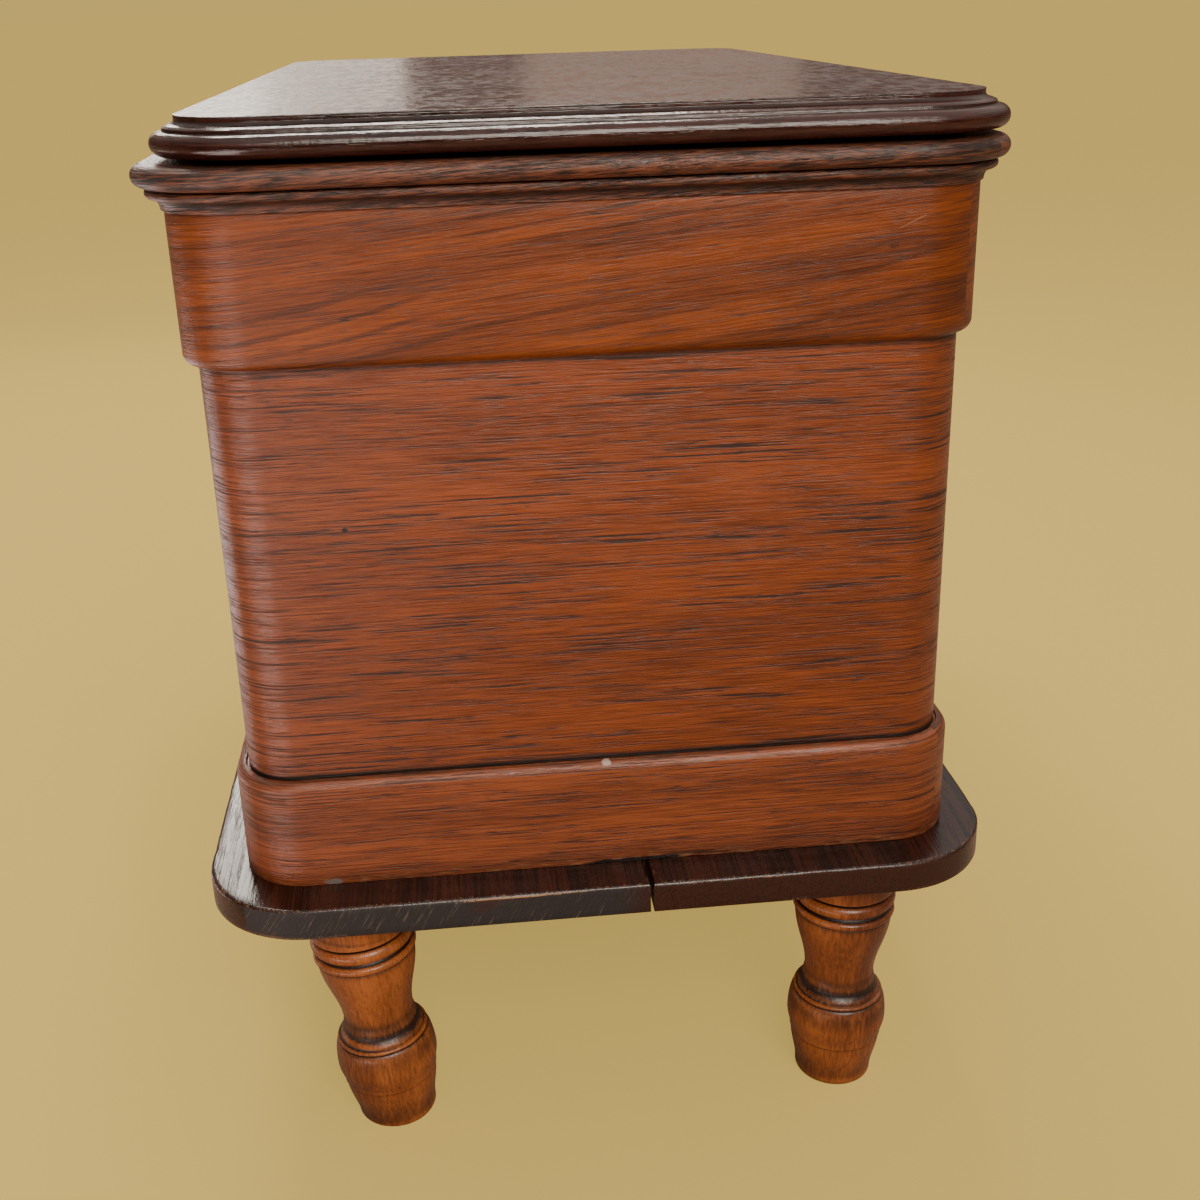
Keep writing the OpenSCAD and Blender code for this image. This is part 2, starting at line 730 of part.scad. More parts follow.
module stay_lid_bracket() {
    head_y = upper_y - arm_gap - stay_head_t;
    color("#7d6a45")
        difference() {
            union() {
                translate([stay_lid_x - lid_plate_w / 2, lid_lug_y, lid_bottom - bracket_t])
                    cube([lid_plate_w, lid_plate_l, bracket_t]);
                translate([stay_lid_x - stay_eye_r, lid_lug_y, stay_lid_z])
                    cube([2 * stay_eye_r, lug_t, lid_bottom - stay_lid_z]);
                y_bar(stay_lid_x, stay_lid_z, stay_eye_r, lid_lug_y, lid_lug_y + lug_t);
                y_bar(stay_lid_x, stay_lid_z, stay_pin_r, head_y, lid_lug_y + lug_t);
                y_bar(stay_lid_x, stay_lid_z, stay_head_r, head_y, head_y + stay_head_t);
            }
            stay_lid_screw_places() {
                translate([0, 0, -bracket_t - cut]) cylinder(r = screw_r + fit, h = bracket_t + 2 * cut);
                translate([0, 0, -bracket_t - 0.01])
                    cylinder(r1 = screw_head_r + fit, r2 = screw_r + fit, h = leaf_t - 0.1);
            }
        }
}

// A flat arm with round eyes from (xa, za) to (xb, zb), and a hole at each end
module stay_arm(xa, za, hole_a, xb, zb, hole_b, y) {
    reach = norm([xb - xa, zb - za]);
    turn = atan2(zb - za, xb - xa);
    translate([xa, y, za]) rotate([0, -turn, 0])
        difference() {
            union() {
                translate([0, 0, -stay_w / 2]) cube([reach, stay_t, stay_w]);
                for (x = [0, reach])
                    translate([x, 0, 0]) rotate([-90, 0, 0]) cylinder(r = stay_w / 2 + 1.2, h = stay_t);
            }
            translate([0, -cut, 0]) rotate([-90, 0, 0]) cylinder(r = hole_a, h = stay_t + 2 * cut);
            translate([reach, -cut, 0]) rotate([-90, 0, 0]) cylinder(r = hole_b, h = stay_t + 2 * cut);
        }
}

module stay_lower_arm() {
    color("#8a7448")
        stay_arm(stay_wall_x, stay_wall_z, stay_pin_r + running,
                 elbow_x, elbow_z, stay_pin_r + fit, lower_y);
}

module stay_upper_arm() {
    color("#8a7448")
        stay_arm(stay_lid_x, stay_lid_z, stay_pin_r + running,
                 elbow_x, elbow_z, stay_pin_r + elbow_slack, upper_y);
}

module stay_elbow_rivet() {
    color("#9a8450") {
        y_bar(elbow_x, elbow_z, stay_pin_r, lower_y - 0.1, lid_lug_y + stay_head_t);
        y_bar(elbow_x, elbow_z, stay_head_r, lower_y - stay_head_t, lower_y);
        y_bar(elbow_x, elbow_z, stay_head_r, lid_lug_y, lid_lug_y + stay_head_t);
    }
}

// ---- Till ----

module till_bottom() {
    color("#a8774a")
        translate([-till_w / 2, till_y, runner_top + till_rise]) cube([till_w, till_l, till_floor_t]);
}

module till_wall(x0, x1, y0, y1, top) {
    low = runner_top + till_rise + till_floor_t;
    translate([x0, y0, low]) cube([x1 - x0, y1 - y0, top - low]);
}

module till_end_near() {
    color("#8f5c34") till_wall(-till_w / 2, till_w / 2, till_y, till_y + till_t, runner_top + till_h);
}

module till_end_far() {
    color("#8f5c34")
        till_wall(-till_w / 2, till_w / 2, till_y + till_l - till_t, till_y + till_l, runner_top + till_h);
}

module till_side(i) {
    color("#8f5c34")
        till_wall(
            i > 0 ? till_w / 2 - till_t : -till_w / 2, i > 0 ? till_w / 2 : -till_w / 2 + till_t,
            till_y + till_t, till_y + till_l - till_t, runner_top + till_h);
}

// The divider across the middle carries the finger slot by which the till is pushed and lifted
module till_long_divider() {
    middle = till_y + till_l / 2;
    top = runner_top + till_h;
    color("#8f5c34")
        difference() {
            till_wall(
                -till_w / 2 + till_t, till_w / 2 - till_t,
                middle - till_t / 2, middle + till_t / 2, top - long_divider_drop);
            translate([0, middle - till_t / 2 - cut, top - 10 - finger_slot_h / 2])
                rotate([-90, 0, 0]) linear_extrude(till_t + 2 * cut) {
                    square([finger_slot_l - finger_slot_h, finger_slot_h], center = true);
                    for (i = [-1, 1])
                        translate([i * (finger_slot_l - finger_slot_h) / 2, 0]) circle(finger_slot_h / 2);
                }
        }
}

module till_cross_dividers() {
    half = divider_t / 2;
    middle = till_y + till_l / 2;
    top = runner_top + till_h - divider_drop;
    color("#9a673c")
        for (i = [-1, 1]) {
            x = i * till_w / 6;
            till_wall(x - half, x + half, till_y + till_t, middle - till_t / 2, top);
            till_wall(x - half, x + half, middle + till_t / 2, till_y + till_l - till_t, top);
        }
}

base_board_left();
base_board_right();
base_batten(-1);  // base_batten_near
base_batten(1);  // base_batten_far
base_batten_screws();
leg(-1, -1, lean_near_left);  // leg_near_left
leg(1, -1, lean_near_right);  // leg_near_right
leg(-1, 1, lean_far);  // leg_far_left
leg(1, 1, lean_far);  // leg_far_right
leg_dowels();
plinth_near();
plinth_far();
plinth_left();
plinth_right();
frieze_near();
frieze_far();
frieze_left();
frieze_right();
cornice_near();
cornice_far();
cornice_left();
cornice_right();
end_panel(-1);  // end_panel_near
end_panel(1);  // end_panel_far
side_panel(-1);  // side_panel_left
side_panel(1);  // side_panel_right
corner_post(-1, -1);  // corner_post_near_left
corner_post(1, -1);  // corner_post_near_right
corner_post(-1, 1);  // corner_post_far_left
corner_post(1, 1);  // corner_post_far_right
panel_veneer();
floor_panel();
runner(-1);  // runner_left
runner(1);  // runner_right
till_bottom();
till_end_near();
till_end_far();
till_side(-1);  // till_side_left
till_side(1);  // till_side_right
till_long_divider();
till_cross_dividers();
lid_panel();
lid_edge_near();
lid_edge_far();
lid_edge_left();
lid_edge_right();
lid_batten(-1);  // lid_batten_near
lid_batten(1);  // lid_batten_far
lid_batten_screws();
hinge_case_leaves();
hinge_lid_leaves();
hinge_pins();
case_screws();
lid_screws();
stay_wall_bracket();
stay_lid_bracket();
stay_lower_arm();
stay_upper_arm();
stay_elbow_rivet();
lid_rest_pads();
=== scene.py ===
import math

import bmesh
import bpy
import numpy as np
from bpy.props import FloatProperty, FloatVectorProperty, PointerProperty
from mathutils import Matrix, Vector


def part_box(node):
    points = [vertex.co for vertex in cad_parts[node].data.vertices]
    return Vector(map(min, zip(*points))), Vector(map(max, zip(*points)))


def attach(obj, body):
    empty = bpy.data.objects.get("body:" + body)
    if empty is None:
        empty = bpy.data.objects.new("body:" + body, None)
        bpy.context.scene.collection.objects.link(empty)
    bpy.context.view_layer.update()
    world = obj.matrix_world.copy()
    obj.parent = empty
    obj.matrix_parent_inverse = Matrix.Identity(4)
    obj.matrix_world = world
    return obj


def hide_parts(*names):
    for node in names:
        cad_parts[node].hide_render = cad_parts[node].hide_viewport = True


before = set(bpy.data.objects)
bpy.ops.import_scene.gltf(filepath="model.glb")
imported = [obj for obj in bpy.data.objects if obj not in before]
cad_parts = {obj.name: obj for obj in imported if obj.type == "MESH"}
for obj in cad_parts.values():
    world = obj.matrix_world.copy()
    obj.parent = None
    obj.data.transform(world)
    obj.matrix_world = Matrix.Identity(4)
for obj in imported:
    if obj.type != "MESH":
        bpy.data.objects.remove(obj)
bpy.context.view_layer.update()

bl_info = {
    "name": "Sewing Table",
    "version": (1, 0, 0),
    "blender": (4, 5, 0),
    "location": "View3D > Sidebar > Sewing Table",
    "description": "Builds a lidded sewing table with its woods, metalwork and a soft studio",
    "category": "Add Mesh",
}

MM = 0.001
DIAGONAL = math.sqrt(0.5)
POLISH_IOR = 1.5
POLISH_RELIEF = 0.00035  # metres

# Radii of the mouldings and thickness of the veneer, in millimetres
CORNICE_TORUS = 6
CORNICE_BEAD = 2.7
LID_THUMB = 6.2
BAND_ROUND = 6
VENEER = 1.4
FACINGS = {"right": 0, "far": 90, "left": 180, "near": 270}


# ---- Sizes and colours that a user may change ----

def length(name, value, text):
    """A length property; value is in metres."""
    return FloatProperty(name=name, default=value, min=0, unit="LENGTH", subtype="DISTANCE", description=text)


def colour(name, value, text):
    """A colour property; value is linear red, green and blue."""
    return FloatVectorProperty(
        name=name, default=value, size=3, min=0, max=4, subtype="COLOR", description=text)


class SewingTableSizes(bpy.types.PropertyGroup):
    """Lengths of the visible forms."""
    base_corner: length("Base corner", 0.066, "Corner radius of the base board in plan")
    leg_from_side: length("Leg from side", 0.088, "From the side of the base board to a leg's axis")
    leg_from_end: length("Leg from end", 0.049, "From the end of the base board to a leg's axis")
    leg_radius: length("Leg radius", 0.0335, "Greatest radius of a turned leg")
    base_arris: length("Base arris", 0.0021, "Rounding of the base board's top edge")
    crisp_arris: length("Crisp arris", 0.0005, "Rounding of the corners cut by a moulding plane")
    sheet: length("Lid sheet", 0.0008, "Thickness of the veneer on top of the lid")
    wander: length("Wander", 0.00022, "How far hand-planed faces wander from true")
    case_bevel: length("Case bevel", 0.0007, "Bevel on the plain boards inside the case")
    metal_bevel: length("Metal bevel", 0.00025, "Bevel on the hinge and stay parts")


class SewingTableColours(bpy.types.PropertyGroup):
    """Colours of the woods, metals and felt."""
    lid_dark: colour("Lid dark", (0.012, 0.0028, 0.0018), "Dark growth lines of the lid")
    lid_pale: colour("Lid pale", (0.052, 0.0125, 0.0065), "Pale growth lines of the lid")
    cornice_dark: colour("Cornice dark", (0.013, 0.0045, 0.0028), "Dark grain of the cornice")
    cornice_pale: colour("Cornice pale", (0.150, 0.0440, 0.0175), "Pale grain of the cornice")
    frieze_dark: colour("Frieze dark", (0.070, 0.0150, 0.0040), "Dark figure of the frieze")
    frieze_pale: colour("Frieze pale", (0.240, 0.0500, 0.0030), "Pale figure of the frieze")
    panel_dark: colour("Panel dark", (0.075, 0.0160, 0.0050), "Dark streaks of the main panel")
    panel_pale: colour("Panel pale", (0.255, 0.0560, 0.0110), "Pale streaks of the main panel")
    plinth_dark: colour("Plinth dark", (0.078, 0.0170, 0.0062), "Dark streaks of the plinth")
    plinth_pale: colour("Plinth pale", (0.270, 0.0660, 0.0180), "Pale streaks of the plinth")
    base_dark: colour("Base dark", (0.007, 0.0018, 0.0011), "Dark grain of the base board")
    base_pale: colour("Base pale", (0.042, 0.0095, 0.0042), "Pale grain of the base board")
    leg_dark: colour("Leg dark", (0.120, 0.0300, 0.0090), "Dark grain of the legs")
    leg_pale: colour("Leg pale", (0.410, 0.1200, 0.0270), "Pale grain of the legs")
    case_dark: colour("Case dark", (0.120, 0.055, 0.024), "Dark grain of the plain boards inside")
    case_pale: colour("Case pale", (0.270, 0.145, 0.070), "Pale grain of the plain boards inside")
    till_dark: colour("Till dark", (0.150, 0.064, 0.024), "Dark grain of the till")
    till_pale: colour("Till pale", (0.340, 0.178, 0.078), "Pale grain of the till")
    # The grime colour is also the painted shade along the band joints, under the frieze's rounded edge and in
    # bands up the legs.
    grime_and_shade: colour("Grime", (0.0070, 0.0038, 0.0028), "Old polish and dirt in grooves and pores")
    bare_wood: colour("Bare wood", (0.420, 0.230, 0.110), "Wood shown where the polish is rubbed off")
    end_grain: colour("End grain", (0.014, 0.0105, 0.0100), "Dry end grain of the base board")
    saw_marks: colour("Saw marks", (0.110, 0.0850, 0.0720), "Raised fibres left by the saw")
    brass: colour("Brass", (0.640, 0.430, 0.160), "Metal of the hinges and their screws")
    old_brass: colour("Old brass", (0.200, 0.120, 0.050), "Tarnish on the brass")
    iron: colour("Iron", (0.130, 0.115, 0.105), "Metal of the hidden screws")
    felt: colour("Felt", (0.042, 0.075, 0.036), "Felt of the lid's rest pads")
    floor: colour("Floor", (0.740, 0.515, 0.130), "Studio floor")
    floor_bounce: colour("Floor bounce", (0.300, 0.215, 0.150), "Tone the floor throws back on the table")


def sizes():
    return bpy.context.scene.sewing_table_sizes


def colours():
    return bpy.context.scene.sewing_table_colours


# ---- Shader building ----

class Socket:
    """An output socket; sums and products of it add Math nodes."""

    def __init__(self, shader, socket):
        self.shader = shader
        self.socket = socket

    def __add__(self, other):
        return self.shader.math("ADD", self, other)

    def __sub__(self, other):
        return self.shader.math("SUBTRACT", self, other)

    def __rsub__(self, other):
        return self.shader.math("SUBTRACT", other, self)

    def __mul__(self, other):
        return self.shader.math("MULTIPLY", self, other)

    def __pow__(self, other):
        return self.shader.math("POWER", self, other)

    __radd__ = __add__
    __rmul__ = __mul__


class Shader:
    """Builds the nodes of one material or of the world."""

    def __init__(self, owner):
        self.material = owner
        owner.use_nodes = True
        self.tree = owner.node_tree
        self.tree.nodes.clear()

    def node(self, kind, settings=None, sockets=None, out=0):
        """Adds a node: its settings first, then the values or links of its sockets. Gives one output."""
        made = self.tree.nodes.new(kind)
        for key, value in (settings or {}).items():
            if key == "stops":
                self._stops(made.color_ramp, value)
            else:
                setattr(made, key, value)
        for key, value in (sockets or {}).items():
            target = made.inputs[key]
            if isinstance(value, Socket):
                self.tree.links.new(value.socket, target)
            else:
                target.default_value = value
        return Socket(self, made.outputs[out]) if len(made.outputs) else made

    @staticmethod
    def _stops(ramp, stops):
        while len(ramp.elements) < len(stops):
            ramp.elements.new(0.5)
        for element, (place, value) in zip(ramp.elements, stops):
            element.position = place
            element.color = (value, value, value, 1)

    def math(self, operation, *values):
        return self.node("ShaderNodeMath", {"operation": operation}, dict(enumerate(values)))

    def clamp(self, value):
        return self.node("ShaderNodeClamp", None, {0: value})

    def step(self, value, low, high):
        """0 below low, 1 above high, smooth between."""
        return self.node(
            "ShaderNodeMapRange", {"interpolation_type": "SMOOTHSTEP"},
            {"Value": value, "From Min": low, "From Max": high})

    def vector(self, operation, a, b):
        return self.node("ShaderNodeVectorMath", {"operation": operation}, {0: a, 1: b})

    def stretch(self, place, along, across, depth=None, shift=(0, 0, 0)):
        """Counts of noise cells per metre in each direction of the grain."""
        moved = self.vector("ADD", place, shift)
        return self.vector("MULTIPLY", moved, (along, across, across if depth is None else depth))

    def noise(self, place, detail=2.0, rough=0.5, distortion=0.0):
        return self.node(
            "ShaderNodeTexNoise", None,
            {"Vector": place, "Scale": 1.0, "Detail": detail, "Roughness": rough, "Distortion": distortion})

    def split(self, place):
        made = self.tree.nodes.new("ShaderNodeSeparateXYZ")
        self.tree.links.new(place.socket, made.inputs[0])
        return [Socket(self, s) for s in made.outputs]

    def join(self, x, y, z):
        return self.node("ShaderNodeCombineXYZ", None, {0: x, 1: y, 2: z})

    def blend(self, share, a, b):
        """Colour a where share is 0, b where it is 1."""
        return self.node(
            "ShaderNodeMix", {"data_type": "RGBA"},
            {0: share, 6: self._rgba(a), 7: self._rgba(b)}, out=2)

    def _rgba(self, value):
        return value if isinstance(value, Socket) else (*value[:3], 1.0)

    def finish(self, base, rough, height=None, bump=0.5, reach=0.0004, **constants):
        """Joins colour, roughness and bump to the surface."""
        sockets = {"Base Color": base, "Roughness": rough}
        if height is not None:
            sockets["Normal"] = self.node(
                "ShaderNodeBump", None, {"Strength": bump, "Distance": reach, "Height": height})
        sockets.update({key.replace("_", " "): value for key, value in constants.items()})
        surface = self.node("ShaderNodeBsdfPrincipled", None, sockets)
        self.node("ShaderNodeOutputMaterial", None, {"Surface": surface})
        return self.material


def grain_of_piece(shader):
    """Place in the wood, stored in the mesh: along the grain, across it, and in depth, in metres."""
    return shader.node("ShaderNodeAttribute", {"attribute_name": "grain"}, None, out="Vector")


def grain_of_node(order):
    """Place in the wood for a plain board; order picks the object's axes: along, across, depth."""
    def place(shader):
        axes = shader.split(shader.node("ShaderNodeTexCoord", None, None, out="Object"))
        return shader.join(*[axes["xyz".index(letter)] for letter in order])
    return place


def relief(shader):
    """How far the surface stands out (above 0) or lies in a hollow (below 0), in millimetres."""
    return shader.node("ShaderNodeAttribute", {"attribute_name": "relief"}, None, out="Fac")


def wood(name, place_of, dark, pale, *, figure=0.4, figure_per_m=60, sweep=3.0, streak=0.8, streak_per_m=620,
         streak_along=28, slope=0.0, growth=0.0, line=0.5, pore=0.6, patch=0.5, gloss=0.3, bump=0.4, worn=0.3,
         dirty=1.0, peel=0.0, edges=(), nicks=(), stain_and_shade=None):
    """Polished wood: growth figure, fibre streaks, dark pores, cloudy patches, rubbed arrises, dirt in the
    hollows and painted shade in bands.

    slope tilts the figure against the grain, and growth is the strength of its thin dark lines.
    peel is how uneven the varnish is.
    edges are dark bands in the grime colour: painted shade along joints and under rounded edges, and the
    plinth's wax line at its foot: (height where it starts, height where it is full, amount), in metres.
    nicks are small marks on the near end: (x, z, half length, half height, slope, colour).
    The last argument, a function, turns the height above the floor into a share of painted shade.
    """
    s = Shader(bpy.data.materials.new(name))
    along, across, depth = s.split(place_of(s))
    place = s.join(along, across - along * (slope * 0.5), depth)
    warp = s.noise(s.stretch(place, 2.6, 9, 9), detail=1.5)
    drift = s.noise(s.stretch(place, 9, 40, 40), detail=2)
    phase = (across + depth - along * slope) * figure_per_m + warp * (sweep * 6.0) + drift * 1.2
    narrow = s.math("SINE", phase * 3.3 + drift * 2.5)
    lines = s.step(s.math("SINE", phase), -0.6, 1.0)
    late = s.step(narrow, 0.45, 1.0) * s.step(drift, 0.38, 0.62) * growth
    streaks = s.step(s.noise(s.stretch(place, streak_along, streak_per_m), detail=3, rough=0.66), 0.28, 0.72)
    fibres = s.noise(s.stretch(place, streak_along * 2.4, streak_per_m * 2.3, shift=(3, 1, 2)), detail=2)
    threads = s.step(s.noise(s.stretch(place, 15, 900, shift=(6, 5, 1)), detail=2, rough=0.6), 0.52, 0.63)
    pores = s.step(s.noise(s.stretch(place, 80, 1150, shift=(5, 2, 7)), detail=1), 0.58, 0.68)
    gaps = s.step(s.noise(s.stretch(place, 14, 190, shift=(1, 6, 3)), detail=2), 0.38, 0.58)
    cloud = cloudy(s, place)
    tone = (lines - 0.5) * figure + (streaks - 0.5) * (streak * 1.7) + (fibres - 0.5) * (streak * 1.6)
    tone = s.clamp(tone + (cloud - 0.5) * (patch * 2.2) + 0.5)
    skin = s.blend(tone, dark, pale)
    marks = s.clamp(pores * gaps * pore + threads * gaps * line)
    skin = s.blend(s.clamp(marks + late), skin, [c * 0.30 for c in dark])
    standing = relief(s)
    rub = s.noise(s.stretch(place, 110, 620, shift=(2, 9, 4)), detail=3)
    hollow = (0 - standing) * 1.3 * dirty + (rub - 0.5) * 0.5 * dirty - 0.1
    ragged = across + (rub - 0.5) * 0.0022
    # Painted shade: dark bands along the joints and under rounded edges, with the plinth's wax line among
    # them.
    for start, full, amount in edges:
        hollow = hollow + s.clamp((ragged - start) * (1 / (full - start))) * amount
    # Painted shade in bands by height, for the legs.
    if stain_and_shade is not None:
        hollow = hollow + stain_and_shade(s, rub)
    hollow = s.clamp(hollow) * 0.96
    skin = s.blend(hollow, skin, colours().grime_and_shade)
    rubbed = s.clamp(standing * 1.5 - 0.25) * s.step(rub, 0.50, 0.72) * worn
    skin = s.blend(rubbed, skin, colours().bare_wood)
    for nick in nicks:
        skin = mark(s, skin, rub, *nick)
    coat = s.noise(s.stretch(place, 150, 62, 62, shift=(7, 3, 1)), detail=3, rough=0.6)
    rough = gloss + (streaks - 0.5) * 0.10 + (cloud - 0.5) * 0.12 + hollow * 0.12 + rubbed * 0.25
    rough = s.clamp(rough + (coat - 0.5) * (peel * 0.5) + marks * 0.25)
    height = streaks * 0.6 + fibres * 0.3 - marks * 0.8 + coat * (peel * 3.0)
    return s.finish(skin, rough, height, bump=bump, reach=POLISH_RELIEF, IOR=POLISH_IOR)


def cloudy(s, place):
    """Slow change of tone over a hand's breadth."""
    return s.noise(s.stretch(place, 5, 13, 13, shift=(8, 4, 2)), detail=3)


def mark(s, skin, rub, x, z, half_length, half_height, slope, tint):
    """A chip or scratch on the near end, with a broken outline."""
    axes = s.split(s.node("ShaderNodeTexCoord", None, None, out="Object"))
    run = (axes[0] - x) * (1 / half_length)
    rise = (axes[2] - z - (axes[0] - x) * slope) * (1 / half_height)
    spread = run * run + rise * rise + (rub - 0.5) * 2.6
    share = (1 - s.step(spread, 0.6, 1.1)) * s.step(0 - axes[1], 0.35, 0.36)
    return s.blend(share, skin, tint)


def metal(name, clean, tarnish, gloss, specks):
    """Old metal: tarnish in clouds and fine brushed lines."""
    s = Shader(bpy.data.materials.new(name))
    place = s.node("ShaderNodeTexCoord", None, None, out="Object")
    cloud = s.noise(s.stretch(place, 60, 60, 60), detail=5, rough=0.6)
    brushed = s.noise(s.stretch(place, 160, 2400, 2400), detail=2)
    spots = s.step(s.noise(s.stretch(place, 420, 420, 420), detail=2), 0.60, 0.74)
    share = s.clamp(s.step(cloud, 0.36, 0.66) + spots * specks)
    skin = s.blend(share, clean, tarnish)
    rough = s.clamp(gloss + share * 0.25 + (brushed - 0.5) * 0.2)
    return s.finish(skin, rough, brushed * 0.6 + cloud * 0.5, bump=0.25, reach=0.0002, Metallic=1.0)


def felt(name, base):
    """Matted wool: short tangled fibres."""
    s = Shader(bpy.data.materials.new(name))
    place = s.node("ShaderNodeTexCoord", None, None, out="Object")
    tangle = s.noise(s.stretch(place, 1500, 1500, 1500), detail=4, rough=0.7, distortion=1.5)
    tufts = s.noise(s.stretch(place, 420, 420, 420, shift=(1, 2, 3)), detail=2)
    skin = s.blend(s.clamp(tangle * 0.8 + tufts * 0.4 - 0.1), base, [c * 2.3 for c in base])
    return s.finish(skin, s.clamp(tangle * 0.1 + 0.85), tangle + tufts, bump=0.8, reach=0.0006)


# ---- Outlines and meshes ----

def arc(cx, cy, r, a, b, n=12):
    """Points on an arc from angle a to angle b, in degrees."""
    turns = np.radians(np.linspace(a, b, n + 1))
    return [(cx + r * math.cos(t), cy + r * math.sin(t)) for t in turns]


def sweep(p, q, n=14):
    """Points on an S-shaped curve from p to q, upright at both ends."""
    return [(p[0] + (q[0] - p[0]) * (1 - math.cos(math.pi * i / n)) / 2, p[1] + (q[1] - p[1]) * i / n)
            for i in range(n + 1)]


def shoulder(p, q, n=12):
    """Points on a quarter of an ellipse that leaves p upright and reaches q level."""
    turns = [math.pi / 2 * i / n for i in range(n + 1)]
    return [(q[0] + (p[0] - q[0]) * math.cos(t), p[1] + (q[1] - p[1]) * math.sin(t)) for t in turns]


def soften(points, radius, closed=True):
    """Puts a small arc in place of each sharp corner of an outline."""
    made = []
    count = len(points)
    for i, point in enumerate(points):
        here = Vector(point)
        before = Vector(points[i - 1]) - here
        after = Vector(points[(i + 1) % count]) - here
        end = not closed and i in (0, count - 1)
        if end or before.length < 1e-9 or after.length < 1e-9 or before.angle(after) > math.radians(152):
            made.append(tuple(here))
            continue
        half = before.angle(after) / 2
        reach = min(radius / math.tan(half), before.length * 0.45, after.length * 0.45)
        a = here + before.normalized() * reach
        b = here + after.normalized() * reach
        for t in (0.0, 0.25, 0.5, 0.75, 1.0):
            made.append(tuple(a * (1 - t) ** 2 + here * (2 * t * (1 - t)) + b * t * t))
    return made


def refine(points, longest, closed=True):
    """Splits the long straight stretches of an outline."""
    made = []
    pairs = zip(points, points[1:] + (points[:1] if closed else []))
    for a, b in pairs:
        parts = max(1, math.ceil((Vector(b) - Vector(a)).length / longest))
        made += [tuple(Vector(a).lerp(Vector(b), k / parts)) for k in range(parts)]
    return made if closed else made + [points[-1]]


def standing_out(points, blur, closed=True):
    """How far each point of an outline stands out from the outline blurred over a short length, in mm."""
    p = np.array(points, float)
    ring = np.vstack([p, p[:1]]) if closed else p
    lengths = np.concatenate([[0], np.cumsum(np.linalg.norm(np.diff(ring, axis=0), axis=1))])
    step = 0.0002
    fine_at = np.arange(0, lengths[-1], step)
    fine = np.stack([np.interp(fine_at, lengths, ring[:, k]) for k in (0, 1)], axis=1)
    span = int(3 * blur / step)
    kernel = np.exp(-0.5 * (np.arange(-span, span + 1) * step / blur) ** 2)
    kernel /= kernel.sum()
    mode = "wrap" if closed else "edge"
    padded = np.pad(fine, ((span, span), (0, 0)), mode=mode)
    smooth = np.stack([np.convolve(padded[:, k], kernel, "valid") for k in (0, 1)], axis=1)
    tangent = np.gradient(smooth, axis=0)
    normal = np.stack([tangent[:, 1], -tangent[:, 0]], axis=1)
    normal /= np.maximum(np.linalg.norm(normal, axis=1, keepdims=True), 1e-12)
    out = ((fine - smooth) * normal).sum(axis=1) / MM
    return np.interp(lengths[:len(p)], fine_at, out)


def waver(p, wave, seed):
    """A smooth value from 0 to 1 that changes over about one wave length, at points p."""
    rng = np.random.default_rng(seed)
    total = np.zeros(len(p))
    for _ in range(6):
        direction = rng.normal(size=3)
        direction *= 2 * math.pi / wave * rng.uniform(0.6, 1.6) / np.linalg.norm(direction)
        total += np.sin(p @ direction + rng.uniform(0, 6.3))
    return np.clip(total / 12 + 0.5, 0, 1)


def skin_faces(u_count, v_count, wrap_u, wrap_v, caps):
    """Quads over a grid of points, row by row, with end faces over the rows (u) or the columns (v)."""
    faces = []
    for u in range(u_count if wrap_u else u_count - 1):
        for v in range(v_count if wrap_v else v_count - 1):
            a, b = u * v_count + v, ((u + 1) % u_count) * v_count + v
            w = 1 - v_count if v == v_count - 1 else 1
            faces.append((a, b, b + w, a + w))
    if caps == "u":
        faces += [tuple(range(v_count)), tuple((u_count - 1) * v_count + v for v in reversed(range(v_count)))]
    if caps == "v":
        faces += [tuple(u * v_count for u in range(u_count)),
                  tuple(u * v_count + v_count - 1 for u in reversed(range(u_count)))]
    return faces


def make_piece(name, points, faces, grain, out, materials, body, stands_for, sharp=40, pick=None):
    """Builds a mesh piece with its place in the wood and its relief, and puts it on its body."""
    mesh = bpy.data.meshes.new(name)
    mesh.from_pydata([tuple(p) for p in points], [], faces)
    work = bmesh.new()
    work.from_mesh(mesh)
    bmesh.ops.recalc_face_normals(work, faces=work.faces)
    work.to_mesh(mesh)
    work.free()
    mesh.attributes.new("grain", "FLOAT_VECTOR", "POINT").data.foreach_set(
        "vector", np.asarray(grain, np.float32).ravel())
    mesh.attributes.new("relief", "FLOAT", "POINT").data.foreach_set("value", np.asarray(out, np.float32))
    for material in materials:
        mesh.materials.append(material)
    if pick:
        for face in mesh.polygons:
            face.material_index = pick(face)
    mesh.shade_smooth()
    mesh.set_sharp_from_angle(angle=math.radians(sharp))
    piece = bpy.data.objects.new(name, mesh)
    bpy.context.scene.collection.objects.link(piece)
    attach(piece, body)
    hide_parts(*stands_for)
    return piece


def side_path(run_x, run_y, facing, step=0.012, turn=12, gap=0.0012):
    """Stations along one mitred side of a rounded rectangle: corner centre x, y and angle."""
    out, along = (run_x, run_y) if facing % 180 == 0 else (run_y, run_x)
    bend = list(np.linspace(-math.pi / 4 + gap, 0, turn + 1))
    local = [(out, -along, a) for a in bend]
    parts = max(1, math.ceil(2 * along / step))
    local += [(out, -along + 2 * along * k / parts, 0.0) for k in range(1, parts)]
    local += [(out, along, -a) for a in reversed(bend)]
    t = math.radians(facing)
    c, s = math.cos(t), math.sin(t)
    return [(c * x - s * y, s * x + c * y, a + t) for x, y, a in local]


def travelled(path, radius):
    """Length walked at each station of a path, at the given distance from the corner centres."""
    steps = [0.0]
    for (x0, y0, a0), (x1, y1, a1) in zip(path, path[1:]):
        steps.append(math.hypot(x1 - x0, y1 - y0) + radius * abs(a1 - a0))
    return np.cumsum(steps)


